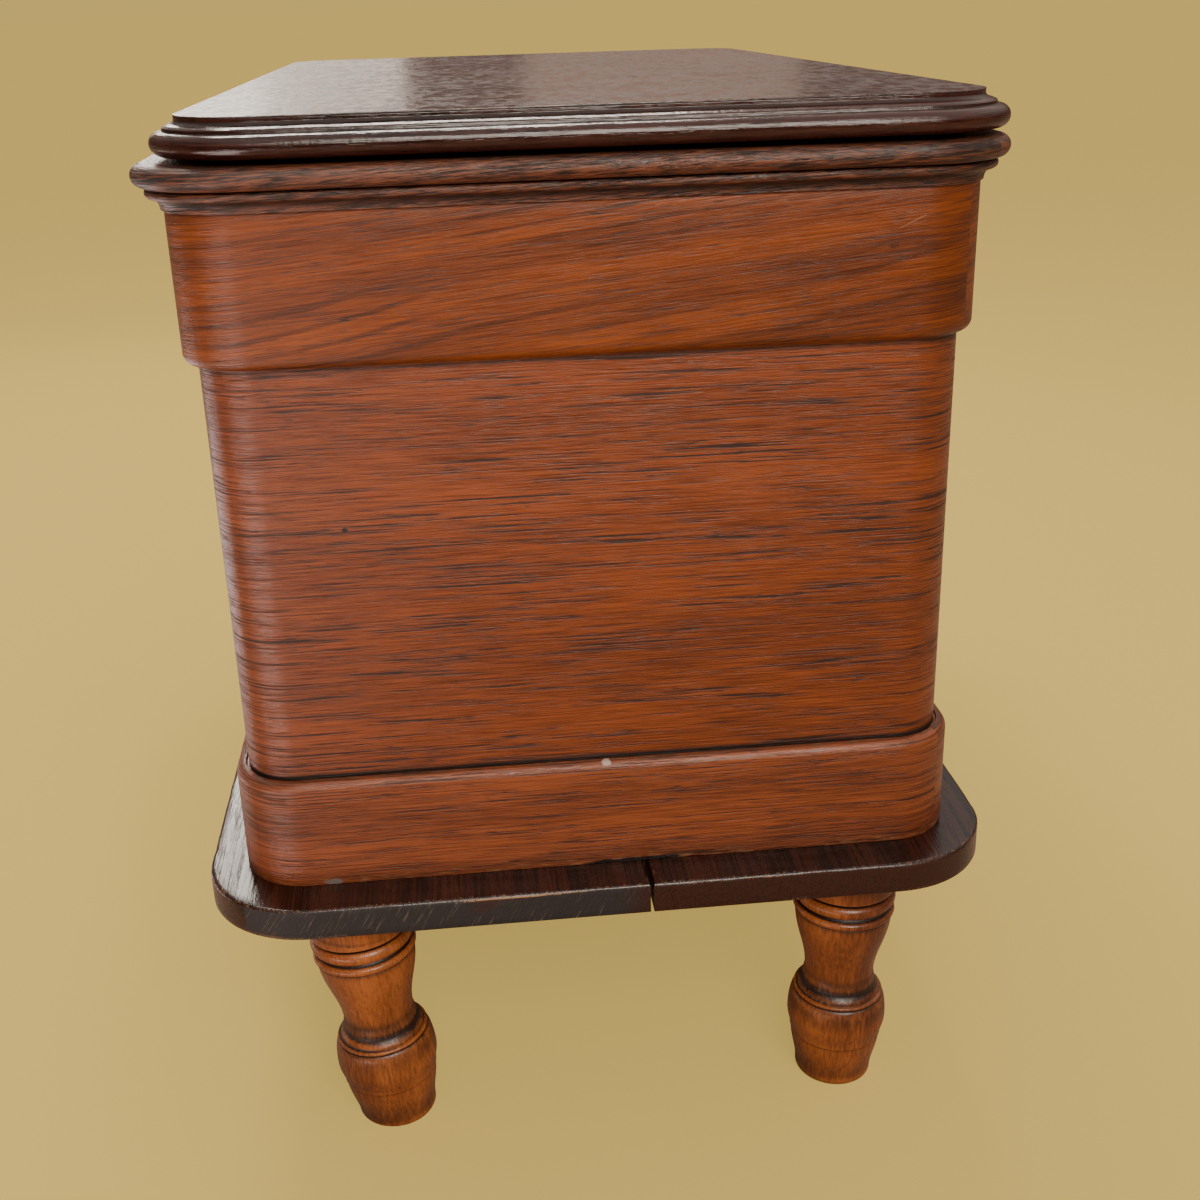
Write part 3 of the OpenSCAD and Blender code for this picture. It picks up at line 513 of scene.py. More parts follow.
def moulding(name, path, outline, radius, shift_x, start, seed, materials, body, stands_for,
             blur=0.0022, wander=None, pick=None):
    """A length of moulding: the outline (distance from the corner centre, height) run along a path."""
    closed = refine(soften(outline, sizes().crisp_arris), 0.008)
    out = standing_out(closed, blur)
    r = np.array([p[0] for p in closed])
    z = np.array([p[1] for p in closed])
    walked = travelled(path, radius)
    rows, grain = [], []
    for (cx, cy, angle), along in zip(path, walked):
        rows.append(np.stack([cx + r * math.cos(angle) + shift_x, cy + r * math.sin(angle), z], axis=1))
        grain.append(np.stack([np.full_like(r, along + start), z, r], axis=1))
    points = np.concatenate(rows)
    amount = sizes().wander if wander is None else wander
    dip = waver(points, 0.11, seed) * amount
    dip += np.clip(np.tile(out, len(path)), 0, 1) * waver(points, 0.017, seed + 50) ** 3 * amount * 2.5
    heading = np.concatenate([np.tile((math.cos(a), math.sin(a), 0.0), (len(r), 1)) for _, _, a in path])
    points = points - heading * dip[:, None]
    faces = skin_faces(len(path), len(closed), False, True, "u")
    return make_piece(name, points, faces, np.concatenate(grain), np.tile(out, len(path)), materials, body,
                      stands_for, pick=pick)


def case_plan():
    """Corner centres and corner radius of the main panel."""
    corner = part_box("corner_post_far_right")[0]
    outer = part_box("panel_veneer")[1]
    return corner.x, corner.y, outer.x - corner.x


def bands(stem, outline, materials, start):
    """Four mitred sides of a band round the case."""
    run_x, run_y, radius = case_plan()
    for side, facing in FACINGS.items():
        path = side_path(run_x, run_y, facing)
        moulding(f"{stem}_band_{side}", path, outline, radius, 0.0, start, 7 + facing + len(stem), materials,
                 "carcass", [f"{stem}_{side}"])
        start += travelled(path, radius)[-1]


def in_metres(points):
    """Outline in metres from millimetres."""
    return [(x * MM, y * MM) for x, y in points]


# ---- Operators ----

class Maker(bpy.types.Operator):
    """Base of the operators that build the table."""
    bl_options = {"REGISTER"}

    def execute(self, context):
        self.make(colours(), sizes())
        return {"FINISHED"}

    def make(self, paint, size):
        raise NotImplementedError


def plank_edge(low_x, high_x, half_x, half_y, radius, step=0.008):
    """Points round one plank of the base board, with the way each moves when the edge is drawn in."""
    left = low_x < -half_x + 1e-6
    path = []
    joint = high_x if left else low_x
    sign = -1 if left else 1
    corner_x, corner_y = sign * (half_x - radius), half_y - radius
    path.append((joint, -half_y))
    path.append((corner_x, -half_y))
    path += [(corner_x + sign * radius * math.sin(t), -corner_y - radius * math.cos(t))
             for t in np.linspace(0, math.pi / 2, 25)[1:]]
    path += [(corner_x + sign * radius * math.cos(t), corner_y + radius * math.sin(t))
             for t in np.linspace(0, math.pi / 2, 25)]
    path.append((joint, half_y))
    path = refine(path, step)
    points = np.array(path)
    before = points - np.roll(points, 1, axis=0)
    after = np.roll(points, -1, axis=0) - points
    before /= np.linalg.norm(before, axis=1, keepdims=True)
    after /= np.linalg.norm(after, axis=1, keepdims=True)
    n1 = sign * np.stack([-before[:, 1], before[:, 0]], axis=1)
    n2 = sign * np.stack([-after[:, 1], after[:, 0]], axis=1)
    middle = n1 + n2
    inward = middle / np.maximum((middle * n1).sum(axis=1), 0.5)[:, None]
    return points, inward


class SEWINGTABLE_OT_base(Maker):
    """Makes the two planks of the base board and dresses the battens under it."""
    bl_idname = "sewingtable.base"
    bl_label = "Base board"

    def make(self, paint, size):
        top = wood("base_board_top", grain_of_piece, paint.base_dark, paint.base_pale, figure=0.45,
                   figure_per_m=190, sweep=1.4, streak=0.6, streak_per_m=420, streak_along=9, pore=0.5,
                   gloss=0.2, bump=0.3, worn=0.25)
        end = sawn_end("base_board_end", paint)
        for side, seed in (("left", 3), ("right", 8)):
            node = f"base_board_{side}"
            low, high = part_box(node)
            half_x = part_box("base_board_right")[1].x
            edge, inward = plank_edge(low.x, high.x, half_x, high.y, size.base_corner)
            flat = np.column_stack([edge, np.zeros(len(edge))])
            rough = 0.55 + 0.9 * waver(flat, 0.03, seed) + 0.5 * waver(flat, 0.009, seed + 1)
            loops = [(3.0, 0.0, 0.0), (0.9, 0.0, 0.0), (0.3, 0.15, 0.4), (0.0, 0.9, 0.6), (0.0, 5.0, 0.0),
                     (0.0, 10.0, 0.0), (0.0, 15.0, 0.0)]
            rows, out = [], []
            for inset, rise, stand in loops:
                level = np.full(len(edge), low.z + rise * MM)
                rows.append(np.column_stack([edge + inward * inset * MM, level]))
                out.append(np.full(len(edge), stand))
            for t in np.linspace(0, 1, 7):
                inset = size.base_arris * rough * (1 - math.cos(t * math.pi / 2))
                drop = size.base_arris * rough * (1 - math.sin(t * math.pi / 2))
                rows.append(np.column_stack([edge + inward * inset[:, None], high.z - drop]))
                out.append(0.9 * rough * math.sin(math.pi * t) ** 0.5)
            rows.append(np.column_stack([edge + inward * 8 * MM, np.full(len(edge), high.z)]))
            out.append(np.zeros(len(edge)))
            points = np.concatenate(rows)
            grain = np.column_stack([points[:, 1] + seed, points[:, 0], points[:, 2]])
            faces = skin_faces(len(rows), len(edge), False, True, "u")
            make_piece(f"base_plank_{side}", points, faces, grain, np.concatenate(out), [top, end], "carcass",
                       [node], pick=lambda face: 1 if abs(face.normal.y) > 0.8 else 0)
        under = wood("base_batten_wood", grain_of_node("xyz"), paint.case_dark, paint.case_pale, gloss=0.6)
        for node in ("base_batten_near", "base_batten_far"):
            dress(node, under, size.case_bevel * 2)
        pegs = wood("dowel_wood", grain_of_node("zxy"), paint.case_dark, paint.case_pale, gloss=0.6)
        dress("leg_dowels", pegs, size.case_bevel)


def sawn_end(name, paint):
    """Dry end grain with slanting saw marks and a few patches where polish remains."""
    s = Shader(bpy.data.materials.new(name))
    axes = s.split(s.node("ShaderNodeTexCoord", None, None, out="Object"))
    slant = s.join(axes[0] * 0.5 + axes[2] * 0.86, axes[0] * 0.86 - axes[2] * 0.5, axes[1])
    marks = s.noise(s.stretch(slant, 60, 900, 60), detail=3, rough=0.6)
    coarse = s.noise(s.stretch(slant, 25, 240, 25, shift=(4, 1, 0)), detail=2)
    pores = s.noise(s.stretch(s.join(*axes), 1100, 1100, 1100), detail=2)
    stain_and_shade = s.noise(s.stretch(s.join(*axes), 16, 16, 40, shift=(2, 0, 5)), detail=3)
    left = s.step(0 - axes[0], -0.03, 0.0)
    share = s.clamp(s.step(marks, 0.52, 0.72) * s.step(coarse, 0.42, 0.6) * 0.8)
    dry = s.blend(s.clamp(share + (pores - 0.5) * 0.5), paint.end_grain, paint.saw_marks)
    polished = s.blend(s.clamp(pores * 1.2 - 0.2), paint.base_dark, [c * 1.5 for c in paint.base_pale])
    skin = s.blend(s.clamp(left - s.step(stain_and_shade, 0.58, 0.7)), polished, dry)
    rubbed = s.clamp(relief(s) * 1.4 - 0.5) * s.step(stain_and_shade + pores * 0.3, 0.70, 0.80)
    skin = s.blend(rubbed, skin, paint.bare_wood)
    rough = s.clamp(left * 0.3 + 0.38 + (pores - 0.5) * 0.2)
    return s.finish(skin, rough, marks + pores * 0.5, bump=0.5, reach=0.0005, IOR=POLISH_IOR)


def leg_outline(size, height):
    """Half outline of a leg in millimetres, from the foot up."""
    r = size.leg_radius / MM
    h = height / MM
    neck_r, cup_r, collar_r, foot_r = r - 10.5, r - 1.7, r - 5, r - 8
    bulb, bead, neck, cup = 0.28 * h, 0.385 * h, 0.49 * h, 0.77 * h
    collar = bead + 2.5
    points = [(0, -4)]
    points += arc(foot_r - 4, 4, 4, -90, 0, 8)
    points += sweep((foot_r, 4), (r - 3.5, 0.2 * h), 16)
    points += sweep((r - 2.8, 0.2 * h + 0.6), (r - 0.6, bulb), 10)
    points += shoulder((r - 0.6, bulb), (collar_r + 0.4, bead), 16)
    points += arc(collar_r, bead + 1.25, 1.25, -80, 80, 8)
    points += sweep((collar_r - 0.8, collar + 0.4), (neck_r + 1.5, collar + 7), 10)
    points += sweep((neck_r + 1.2, collar + 7.5), (neck_r, neck), 6)
    points += sweep((neck_r, neck), (cup_r, cup), 24)[1:]
    points += arc(cup_r - 1.2, cup + 3, 2.8, -75, 75, 10)
    points += [(r - 3.5, cup + 6.6)]
    points += arc(r - 5, cup + 12.5, 5, -80, 80, 14)
    points += [(r - 3, cup + 18.4), (r - 1, cup + 19.4), (r - 1, h + 6), (0, h + 6)]
    return points


class SEWINGTABLE_OT_legs(Maker):
    """Turns the four legs, each leaning a little towards the middle."""
    bl_idname = "sewingtable.legs"
    bl_label = "Legs"

    @staticmethod
    def stain_and_shade(s, rub):
        """Painted shade in bands, as a share at each height of the leg: dark at the foot, on the bulb tops,
        the collar, the grooves and just under the base board.
        """
        # Heights in metres and the share of painted shade at each.
        bands_up = (
            (0.000, 0.62), (0.013, 0.42), (0.026, 0.10), (0.032, 0.12), (0.033, 0.45), (0.035, 0.10),
            (0.043, 0.12), (0.050, 0.55), (0.056, 0.85), (0.0625, 0.92), (0.0638, 0.25), (0.0652, 0.25),
            (0.0665, 0.80), (0.071, 0.92), (0.075, 0.70), (0.081, 0.25), (0.092, 0.12), (0.104, 0.10),
            (0.116, 0.32), (0.127, 0.35), (0.130, 0.55), (0.1345, 1.00), (0.137, 0.40), (0.143, 0.18),
            (0.1465, 0.95), (0.149, 0.30), (0.160, 0.40), (0.165, 0.75))
        top = 0.17
        height = s.split(s.node("ShaderNodeTexCoord", None, None, out="Object"))[2]
        share = s.node("ShaderNodeValToRGB", {"stops": [(z / top, v) for z, v in bands_up]},
                       {"Fac": height * (1 / top) + (rub - 0.5) * 0.012})
        return share * (rub * 0.9 + 0.5) - 0.12

    def make(self, paint, size):
        # The legs' wood takes painted shade in bands by height.
        turned = wood("turned_leg", grain_of_piece, paint.leg_dark, paint.leg_pale, figure=0.22,
                      figure_per_m=260, sweep=1.2, streak=0.28, streak_per_m=620, streak_along=50, pore=0.45,
                      patch=1.1, gloss=0.27, bump=0.3, worn=0.15, dirty=1.25, line=0.0,
                      stain_and_shade=self.stain_and_shade)
        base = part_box("base_board_right")[1]
        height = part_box("base_board_right")[0].z
        leans = {"near_left": 5.5, "near_right": 1.8, "far_left": 3.0, "far_right": 3.0}
        for k, (name, lean) in enumerate(leans.items()):
            i = 1 if "right" in name else -1
            j = 1 if "far" in name else -1
            lean = math.radians(lean)
            top = Vector((i * (base.x - size.leg_from_side), j * (base.y - size.leg_from_end), height))
            outline = in_metres(leg_outline(size, height))
            inner = refine(soften(outline, 0.0003, closed=False), 0.004, closed=False)[1:-1]
            out = standing_out(inner, 0.0028, closed=False)
            r = np.array([p[0] for p in inner])
            z = np.array([p[1] for p in inner])
            drop = height / math.cos(lean) + size.leg_radius * math.sin(lean)
            count = 96
            rows, grain = [], []
            for a in np.linspace(0, 2 * math.pi, count, endpoint=False):
                oval = 1 - 0.004 * (1 + math.sin(2 * a + k))
                local = np.column_stack([r * oval * math.cos(a), r * oval * math.sin(a), z - drop])
                rows.append(local)
                grain.append(np.column_stack([z + 2.1 * k, local[:, 0] + 0.013 * k, local[:, 1] + 0.021]))
            points = np.concatenate(rows)
            points[:, :2] *= (1 - 0.006 * waver(points, 0.03, 40 + k))[:, None]
            turn = np.array(Matrix.Rotation(i * lean, 3, "Y"))
            points = points @ turn.T + np.array(top)
            points[:, 2] = np.clip(points[:, 2], 0.0, height)
            faces = skin_faces(count, len(inner), True, False, "v")
            make_piece(f"turned_leg_{name}", points, faces, np.concatenate(grain), np.tile(out, count),
                       [turned], "carcass", [f"leg_{name}"])


class SEWINGTABLE_OT_plinth(Maker):
    """Makes the plinth band, with the dark wax line at its foot."""
    bl_idname = "sewingtable.plinth"
    bl_label = "Plinth"

    def make(self, paint, size):
        low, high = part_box("plinth_near")
        radius = case_plan()[2] / MM
        out = (case_plan()[1] + low.y) / -MM
        bottom, top = low.z / MM, high.z / MM
        # Dark bands: a wax line at the foot, a darker band on the upper round, and painted shade at the joint
        # with the panel.
        edges = [(low.z + 0.0013, low.z + 0.0005, 1.0), (high.z - 0.0085, high.z - 0.004, 0.42),
                 (high.z - 0.0012, high.z, 1.0)]
        nicks = [(0.002, high.z - 0.0012, 0.0030, 0.0016, 0.0, (0.42, 0.30, 0.25)),
                 (0.072, high.z - 0.0035, 0.034, 0.0007, 0.0, (0.20, 0.10, 0.06)),
                 (0.020, low.z + 0.001, 0.034, 0.0016, 0.0, paint.grime_and_shade),
                 (-0.168, low.z + 0.002, 0.006, 0.0018, 0.0, (0.16, 0.13, 0.12))]
        veneer = wood("plinth_veneer", grain_of_piece, paint.plinth_dark, paint.plinth_pale, figure=0.25,
                      figure_per_m=130, sweep=2.0, streak=0.5, streak_per_m=1250, streak_along=26, line=0.8,
                      patch=0.35, gloss=0.3, bump=0.5, worn=0.35, edges=edges, nicks=nicks)
        outline = [(radius + 0.1, bottom), (out, bottom)]
        outline += arc(out - BAND_ROUND, top - BAND_ROUND, BAND_ROUND, 0, 90, 12)
        outline += [(out - 6.4, top - 1.5), (radius + 0.1, top - 1.5)]
        bands("plinth", in_metres(outline), [veneer], 0.2)


class SEWINGTABLE_OT_panel(Maker):
    """Wraps the veneer round the main panel, with its seam in the middle of the far end."""
    bl_idname = "sewingtable.panel"
    bl_label = "Main panel"

    def make(self, paint, size):
        foot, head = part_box("plinth_near")[1].z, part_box("frieze_near")[0].z
        # The edge bands are painted shade: at the foot, where the plinth stands out, and at the head, under
        # the frieze.
        veneer = wood("panel_veneer", grain_of_piece, paint.panel_dark, paint.panel_pale, figure=0.16,
                      figure_per_m=90, sweep=1.2, streak=0.55, streak_per_m=1300, streak_along=24, line=1.0,
                      pore=0.55, patch=0.4, gloss=0.3, bump=0.5, worn=0.0,
                      edges=[(foot + 0.0035, foot + 0.0008, 1.1), (head - 0.004, head - 0.0005, 0.9)],
                      nicks=[(-0.142, 0.4105, 0.0016, 0.0016, 0.0, paint.grime_and_shade)])
        low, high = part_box("panel_veneer")
        run_x, run_y, radius = case_plan()
        sides = {facing: side_path(run_x, run_y, facing, gap=0.0) for facing in FACINGS.values()}
        far = sides[90]
        half = len(far) // 2
        path = far[half:] + sides[180][1:] + sides[270][1:]
        right = [(x, y, a + 2 * math.pi) for x, y, a in sides[0]]
        path += right[1:] + [(x, y, a + 2 * math.pi) for x, y, a in far[:half]][1:]
        path += [(0.0002, far[half][1], far[half][2] + 2 * math.pi)]
        path[0] = (-0.0002, path[0][1], path[0][2])
        inner = radius - VENEER * MM
        outline = [(inner, low.z), (radius, low.z), (radius, high.z), (inner, high.z)]
        moulding("main_panel_veneer", path, outline, radius, 0.0, 4.0, 31, [veneer],
                 "carcass", ["panel_veneer"], wander=size.wander * 0.8)


class SEWINGTABLE_OT_frieze(Maker):
    """Makes the frieze band with its rounded lower edge."""
    bl_idname = "sewingtable.frieze"
    bl_label = "Frieze"

    def make(self, paint, size):
        low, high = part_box("frieze_near")
        # Painted shade: a dark band on the rounded lower edge where it turns under, and a line at the joint
        # under the cornice.
        edges = [(low.z + 0.0105, low.z + 0.0055, 0.72), (high.z - 0.003, high.z, 0.8)]
        scratch = [(0.176, high.z - 0.018, 0.007, 0.0004, 0.45, (0.24, 0.10, 0.045)),
                   (0.166, high.z - 0.030, 0.003, 0.0018, 0.0, paint.frieze_dark)]
        veneer = wood("frieze_veneer", grain_of_piece, paint.frieze_dark, paint.frieze_pale, figure=0.32,
                      figure_per_m=190, sweep=1.3, slope=0.17, growth=0.5, streak=0.42, streak_per_m=1250,
                      streak_along=30, line=0.4, pore=0.5, patch=0.5, gloss=0.32, bump=0.35, worn=0.05,
                      edges=edges, nicks=scratch)
        radius = case_plan()[2] / MM
        out = (case_plan()[1] + low.y) / -MM
        bottom, top = low.z / MM, high.z / MM
        outline = [(radius + 0.1, bottom), (out - 6.5, bottom), (out - 6.5, bottom + 1)]
        outline += arc(out - BAND_ROUND, bottom + BAND_ROUND + 1, BAND_ROUND, -90, 0, 12)
        outline += [(out, top), (radius + 0.1, top)]
        bands("frieze", in_metres(outline), [veneer], 0.9)


class SEWINGTABLE_OT_cornice(Maker):
    """Makes the cornice: a cove, a bead and a half-round torus."""
    bl_idname = "sewingtable.cornice"
    bl_label = "Cornice"

    def make(self, paint, size):
        coarse = wood("cornice_wood", grain_of_piece, paint.cornice_dark, paint.cornice_pale, figure=0.2,
                      figure_per_m=300, sweep=1.6, slope=0.12, streak=0.8, streak_per_m=900, streak_along=75,
                      line=0.8, pore=0.9, patch=0.35, gloss=0.36, bump=0.9, worn=0.12, dirty=1.5)
        low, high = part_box("cornice_near")
        radius = case_plan()[2] / MM
        out = (case_plan()[1] + low.y) / -MM
        bottom, top = low.z / MM, high.z / MM
        torus = (out - CORNICE_TORUS, top - CORNICE_TORUS)
        bead = (torus[0] - CORNICE_BEAD, torus[1] - CORNICE_TORUS - 0.4 - CORNICE_BEAD)
        cove = bead[1] - CORNICE_BEAD - bottom - 1
        outline = [(radius + 0.1, bottom), (bead[0] - cove + 0.6, bottom)]
        outline += arc(bead[0] + 0.6, bottom + 1, cove, 180, 90, 12)
        outline += arc(*bead, CORNICE_BEAD, -90, 90, 14)
        outline += [(bead[0] - 0.6, torus[1] - CORNICE_TORUS)]
        outline += arc(*torus, CORNICE_TORUS, -90, 90, 20)
        outline += [(radius + 0.1, top)]
        bands("cornice", in_metres(outline), [coarse], 0.5)


def lid_plan():
    """Middle x, corner centres and corner radius of the lid."""
    near, right, left = (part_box(f"lid_edge_{side}") for side in ("near", "right", "left"))
    radius = (right[1].x - near[1].x) / (1 - DIAGONAL)
    middle = (right[1].x + left[0].x) / 2
    return middle, right[1].x - middle - radius, -near[0].y - radius, radius


class SEWINGTABLE_OT_lid(Maker):
    """Makes the lid: a polished top sheet on its slab, and the moulded edge."""
    bl_idname = "sewingtable.lid"
    bl_label = "Lid"

    def make(self, paint, size):
        top_wood = wood("lid_top_wood", grain_of_piece, paint.lid_dark, paint.lid_pale, figure=0.3,
                        figure_per_m=120, sweep=1.5, streak=0.8, streak_per_m=700, streak_along=60, pore=1.0,
                        line=0.9, patch=0.6, gloss=0.20, bump=0.30, worn=0.1, peel=2.0)
        edge_wood = wood("lid_edge_wood", grain_of_piece, paint.lid_dark, paint.lid_pale, figure=0.2,
                         figure_per_m=240, sweep=1.5, streak=0.4, streak_per_m=620, streak_along=40, pore=0.5,
                         line=0.2, patch=0.5, gloss=0.17, bump=0.3, worn=0.05, dirty=0.8, peel=0.5)
        middle, run_x, run_y, radius = lid_plan()
        low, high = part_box("lid_edge_near")
        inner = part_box("lid_panel")[1].x - middle - run_x
        r, bottom, top, sheet = radius / MM, low.z / MM, high.z / MM, size.sheet / MM
        thumb = (r - LID_THUMB, bottom + LID_THUMB)
        step = bottom + 2 * LID_THUMB
        face_x = thumb[0] - 4.2
        face_h = top - step - 3.2
        outline = [(inner / MM + 0.05, bottom)]
        outline += arc(*thumb, LID_THUMB, -90, 90, 22)
        outline += [(thumb[0] - 1.1, step), (thumb[0] - 1.3, step + 1.7)]
        outline += [(thumb[0] - 2.0, step + 2.35), (thumb[0] - 4.6, step + 3.35)]
        outline += arc(face_x, top - 1, face_h - 1, 262, 206, 8)
        outline += [(face_x - face_h + 1.4, top - sheet), (inner / MM + 0.05, top - sheet)]
        for k, (side, facing) in enumerate(FACINGS.items()):
            path = side_path(run_x, run_y, facing)
            moulding(f"lid_moulding_{side}", path, in_metres(outline), radius, middle, 0.4 + 1.1 * k, 61 + k,
                     [edge_wood], "lid", [f"lid_edge_{side}"])
        arris = face_x - face_h + 1.4
        loops = [(inner, low.z), (inner, high.z - size.sheet), ((arris - 0.2) * MM, high.z - size.sheet)]
        loops += [(x * MM, y * MM) for x, y in arc(arris - 0.55, top - 0.55, 0.55, -20, 90, 8)]
        loops += [((arris - 2.5) * MM, high.z), ((arris - 8) * MM, high.z), (0.004, high.z)]
        path = []
        for facing in FACINGS.values():
            path += side_path(run_x, run_y, facing, gap=0.0)[:-1]
        rows, out = [], []
        for k, (reach, z) in enumerate(loops):
            rows.append(np.array([(x + reach * math.cos(a) + middle, y + reach * math.sin(a), z)
                                  for x, y, a in path]))
            out.append(np.full(len(path), 0.7 if 3 <= k <= 10 else 0.0))
        points = np.concatenate(rows)
        grain = np.column_stack([points[:, 0] + 0.7, points[:, 1], points[:, 2]])
        faces = skin_faces(len(rows), len(path), False, True, "u")
        make_piece("lid_top", points, faces, grain, np.concatenate(out), [top_wood], "lid",
                   ["lid_panel"])
        inside = wood("lid_batten_wood", grain_of_node("xyz"), paint.case_dark, paint.case_pale, gloss=0.5)
        for node in ("lid_batten_near", "lid_batten_far"):
            dress(node, inside, size.case_bevel * 2)


def dress(node, material, bevel, angle=30):
    """Gives a CAD node its material and softened edges."""
    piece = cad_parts.get(node)
    if piece is None:
        raise RuntimeError(f"the model has no node {node}")
    piece.data.materials.clear()
    piece.data.materials.append(material)
    weld = piece.modifiers.new("weld", "WELD")
    weld.merge_threshold = 1e-6
    soft = piece.modifiers.new("bevel", "BEVEL")
    soft.width = bevel
    soft.segments = 2
    soft.limit_method = "ANGLE"
    soft.angle_limit = math.radians(angle)
    soft.harden_normals = True


class SEWINGTABLE_OT_case(Maker):
    """Dresses the boards inside the case."""
    bl_idname = "sewingtable.case"
    bl_label = "Case boards"

    def make(self, paint, size):
        plain = {
            "x": wood("case_wood_x", grain_of_node("xzy"), paint.case_dark, paint.case_pale, gloss=0.45),
            "y": wood("case_wood_y", grain_of_node("yzx"), paint.case_dark, paint.case_pale, gloss=0.45),
            "z": wood("case_wood_z", grain_of_node("zxy"), paint.case_dark, paint.case_pale, gloss=0.45),
            "floor": wood("well_floor_wood", grain_of_node("yxz"), paint.case_dark, paint.case_pale,
                          gloss=0.5),
        }
        grain = {
            "end_panel_near": "x", "end_panel_far": "x", "side_panel_left": "y", "side_panel_right": "y",
            "corner_post_near_left": "z", "corner_post_near_right": "z", "corner_post_far_left": "z",
            "corner_post_far_right": "z", "floor_panel": "floor", "runner_left": "y", "runner_right": "y",
        }
        for node, along in grain.items():
            dress(node, plain[along], size.case_bevel)


class SEWINGTABLE_OT_till(Maker):
    """Dresses the sliding till."""
    bl_idname = "sewingtable.till"
    bl_label = "Till"

    def make(self, paint, size):
        across = wood("till_wood_x", grain_of_node("xzy"), paint.till_dark, paint.till_pale, gloss=0.4)
        length_wise = wood("till_wood_y", grain_of_node("yzx"), paint.till_dark, paint.till_pale, gloss=0.4)
        flat = wood("till_bottom_wood", grain_of_node("yxz"), paint.till_dark, paint.till_pale, gloss=0.45)
        for node in ("till_end_near", "till_end_far", "till_long_divider"):
            dress(node, across, size.case_bevel * 1.5)
        for node in ("till_side_left", "till_side_right", "till_cross_dividers"):
            dress(node, length_wise, size.case_bevel * 1.5)
        dress("till_bottom", flat, size.case_bevel)


class SEWINGTABLE_OT_metalwork(Maker):
    """Dresses the hinges, the lid stay and the screws."""
    bl_idname = "sewingtable.metalwork"
    bl_label = "Hinges, stay and screws"

    def make(self, paint, size):
        brass = metal("hinge_brass", paint.brass, paint.old_brass, 0.28, 0.4)
        dull = metal("stay_brass", [c * 0.8 for c in paint.brass], paint.old_brass, 0.36, 0.6)
        heads = metal("screw_brass", [c * 0.9 for c in paint.brass], paint.old_brass, 0.32, 0.5)
        iron = metal("screw_iron", paint.iron, [c * 0.35 for c in paint.iron], 0.45, 0.8)
        groups = {
            brass: ("hinge_case_leaves", "hinge_lid_leaves", "hinge_pins"),
            dull: ("stay_wall_bracket", "stay_lid_bracket", "stay_lower_arm", "stay_upper_arm",
                   "stay_elbow_rivet"),
            heads: ("case_screws", "lid_screws"),
            iron: ("base_batten_screws", "lid_batten_screws"),
        }
        for material, nodes in groups.items():
            for node in nodes:
                dress(node, material, size.metal_bevel)


class SEWINGTABLE_OT_pads(Maker):
    """Dresses the felt pads that the lid rests on."""
    bl_idname = "sewingtable.pads"
    bl_label = "Rest pads"

    def make(self, paint, size):
        dress("lid_rest_pads", felt("pad_felt", paint.felt), size.metal_bevel * 2)


# ---- Studio ----

def area_light(name, place, width, height, look, power, tint=(1.0, 1.0, 1.0)):
    """A rectangular lamp at place that shines along look."""
    lamp = bpy.data.lights.new(name, "AREA")
    lamp.shape = "RECTANGLE"
    lamp.size = width
    lamp.size_y = height
    lamp.energy = power
    lamp.color = tint
    made = bpy.data.objects.new(name, lamp)
    made.location = place
    made.rotation_euler = Vector(look).to_track_quat("-Z", "Y").to_euler()
    made.visible_camera = False
    bpy.context.scene.collection.objects.link(made)


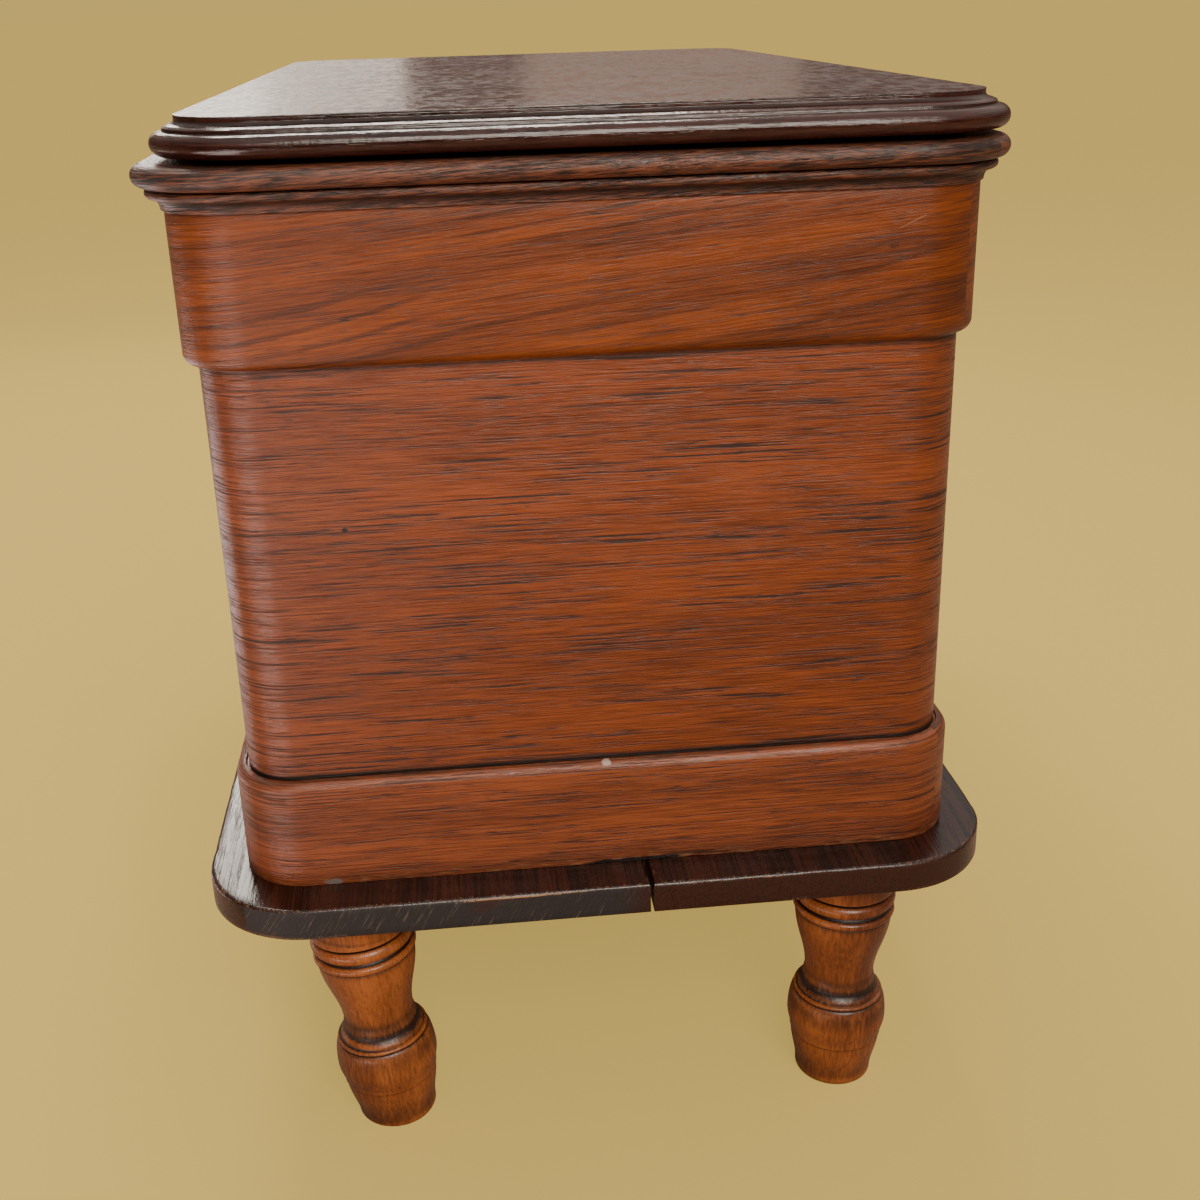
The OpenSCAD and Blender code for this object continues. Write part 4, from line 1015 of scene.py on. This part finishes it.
class SEWINGTABLE_OT_stage(Maker):
    """Sets up the floor, the lamps, the room's light and the camera."""
    bl_idname = "sewingtable.stage"
    bl_label = "Studio"

    def make(self, paint, size):
        self.floor(paint)
        self.room(paint)
        lamps = (
            ("window_low", (-0.35, 2.5, 0.93), 0.40, 0.38, (0, -1, 0), 1.15, (1.0, 0.86, 0.72)),
            ("window_side", (-0.95, 2.5, 0.95), 0.80, 0.42, (0, -1, 0), 0.9, (1.0, 0.76, 0.62)),
            ("window_high", (-0.80, 2.5, 1.75), 0.60, 1.10, (0, -1, 0), 24, (1.0, 0.92, 0.82)),
            ("skylight", (-0.30, 1.20, 3.00), 1.60, 0.60, (0.15, -1.6, -2.4), 95, (1.0, 0.93, 0.82)),
            ("doorway", (0.46, 2.5, 1.12), 0.66, 0.76, (0, -1, 0), 0.72, (1.0, 0.66, 0.48)),
            ("card_front_left", (-0.86, -1.55, 0.004), 0.86, 1.70, (0, 0, 1), 27, (1.0, 0.84, 0.82)),
            ("card_side_left", (-1.20, 0.25, 0.004), 0.90, 0.90, (0, 0, 1), 8, (1.0, 0.88, 0.90)),
            ("softbox_front", (0.35, -2.6, 1.9), 1.3, 1.3, (-0.35, 2.4, -1.55), 58, (1.0, 0.92, 0.80)),
        )
        for lamp in lamps:
            area_light(*lamp)
        self.camera()

    def floor(self, paint):
        mesh = bpy.data.meshes.new("studio_floor")
        reach = 200
        corners = [(-reach, -reach, 0), (reach, -reach, 0), (reach, reach, 0), (-reach, reach, 0)]
        mesh.from_pydata(corners, [], [(0, 1, 2, 3)])
        s = Shader(bpy.data.materials.new("floor_paper"))
        seen = s.node("ShaderNodeLightPath", None, None, out="Is Camera Ray")
        lit = s.blend(seen, paint.floor_bounce, [c * 0.32 for c in paint.floor])
        glow = s.blend(seen, (0.0, 0.0, 0.0), [c * 0.68 for c in paint.floor])
        s.finish(lit, 1.0, Emission_Color=glow, Emission_Strength=1.0, Specular_IOR_Level=0.0)
        mesh.materials.append(s.material)
        made = bpy.data.objects.new("studio_floor", mesh)
        bpy.context.scene.collection.objects.link(made)

    def room(self, paint):
        """Soft light from all round: dim at the skirting and on the left, brighter overhead."""
        world = bpy.data.worlds.new("studio_room")
        bpy.context.scene.world = world
        shader = Shader(world)
        way = shader.node("ShaderNodeTexCoord", None, None, out="Generated")
        east, _, up = shader.split(way)
        high = shader.step(up, 0.02, 0.75) * (shader.step(east, -0.85, -0.15) * 0.65 + 0.35)
        soft = shader.blend(high, (0.110, 0.060, 0.040), (1.0, 0.93, 0.86))
        seen = shader.node("ShaderNodeLightPath", None, None, out="Is Camera Ray")
        tone = shader.blend(seen, soft, [c * 0.9 for c in paint.floor])
        back = shader.node("ShaderNodeBackground", None, {"Color": tone, "Strength": 1.0})
        shader.node("ShaderNodeOutputWorld", None, {"Surface": back})

    def camera(self):
        """A 45 mm lens a little above the lid, looking down on the short end."""
        yaw, pitch, roll = (math.radians(v) for v in (5.30, 21.77, -1.66))
        ahead = Vector((math.sin(yaw) * math.cos(pitch), math.cos(yaw) * math.cos(pitch), -math.sin(pitch)))
        side = Vector((math.cos(yaw), -math.sin(yaw), 0))
        up = side.cross(ahead)
        x_axis = side * math.cos(roll) + up * math.sin(roll)
        y_axis = up * math.cos(roll) - side * math.sin(roll)
        lens = bpy.data.cameras.new("camera")
        lens.sensor_width = 36
        lens.lens = 45.11
        lens.clip_end = 500
        made = bpy.data.objects.new("camera", lens)
        turn = Matrix((x_axis, y_axis, -ahead)).transposed().to_4x4()
        made.matrix_world = Matrix.Translation((-0.0740, -1.2236, 0.6845)) @ turn
        bpy.context.scene.collection.objects.link(made)
        bpy.context.scene.camera = made


class SEWINGTABLE_PT_panel(bpy.types.Panel):
    """Buttons for each part of the table."""
    bl_label = "Sewing Table"
    bl_idname = "SEWINGTABLE_PT_panel"
    bl_space_type = "VIEW_3D"
    bl_region_type = "UI"
    bl_category = "Sewing Table"

    def draw(self, context):
        for maker in MAKERS:
            self.layout.operator(maker.bl_idname)
        for group in (context.scene.sewing_table_sizes, context.scene.sewing_table_colours):
            box = self.layout.box()
            for name in group.__annotations__:
                box.prop(group, name)


MAKERS = (
    SEWINGTABLE_OT_stage,
    SEWINGTABLE_OT_base,
    SEWINGTABLE_OT_legs,
    SEWINGTABLE_OT_plinth,
    SEWINGTABLE_OT_panel,
    SEWINGTABLE_OT_frieze,
    SEWINGTABLE_OT_cornice,
    SEWINGTABLE_OT_lid,
    SEWINGTABLE_OT_case,
    SEWINGTABLE_OT_till,
    SEWINGTABLE_OT_metalwork,
    SEWINGTABLE_OT_pads,
)
GROUPS = (SewingTableSizes, SewingTableColours)


def register():
    for kind in GROUPS + MAKERS + (SEWINGTABLE_PT_panel,):
        bpy.utils.register_class(kind)
    bpy.types.Scene.sewing_table_sizes = PointerProperty(type=SewingTableSizes)
    bpy.types.Scene.sewing_table_colours = PointerProperty(type=SewingTableColours)


def unregister():
    del bpy.types.Scene.sewing_table_colours
    del bpy.types.Scene.sewing_table_sizes
    for kind in reversed(GROUPS + MAKERS + (SEWINGTABLE_PT_panel,)):
        bpy.utils.unregister_class(kind)


def plain(bounds):
    """Bounds as plain lists of numbers."""
    return [[float(v) for v in corner] for corner in bounds]


def main():
    register()
    for maker in MAKERS:
        area, action = maker.bl_idname.split(".")
        getattr(getattr(bpy.ops, area), action)()


if __name__ == "__main__":
    main()
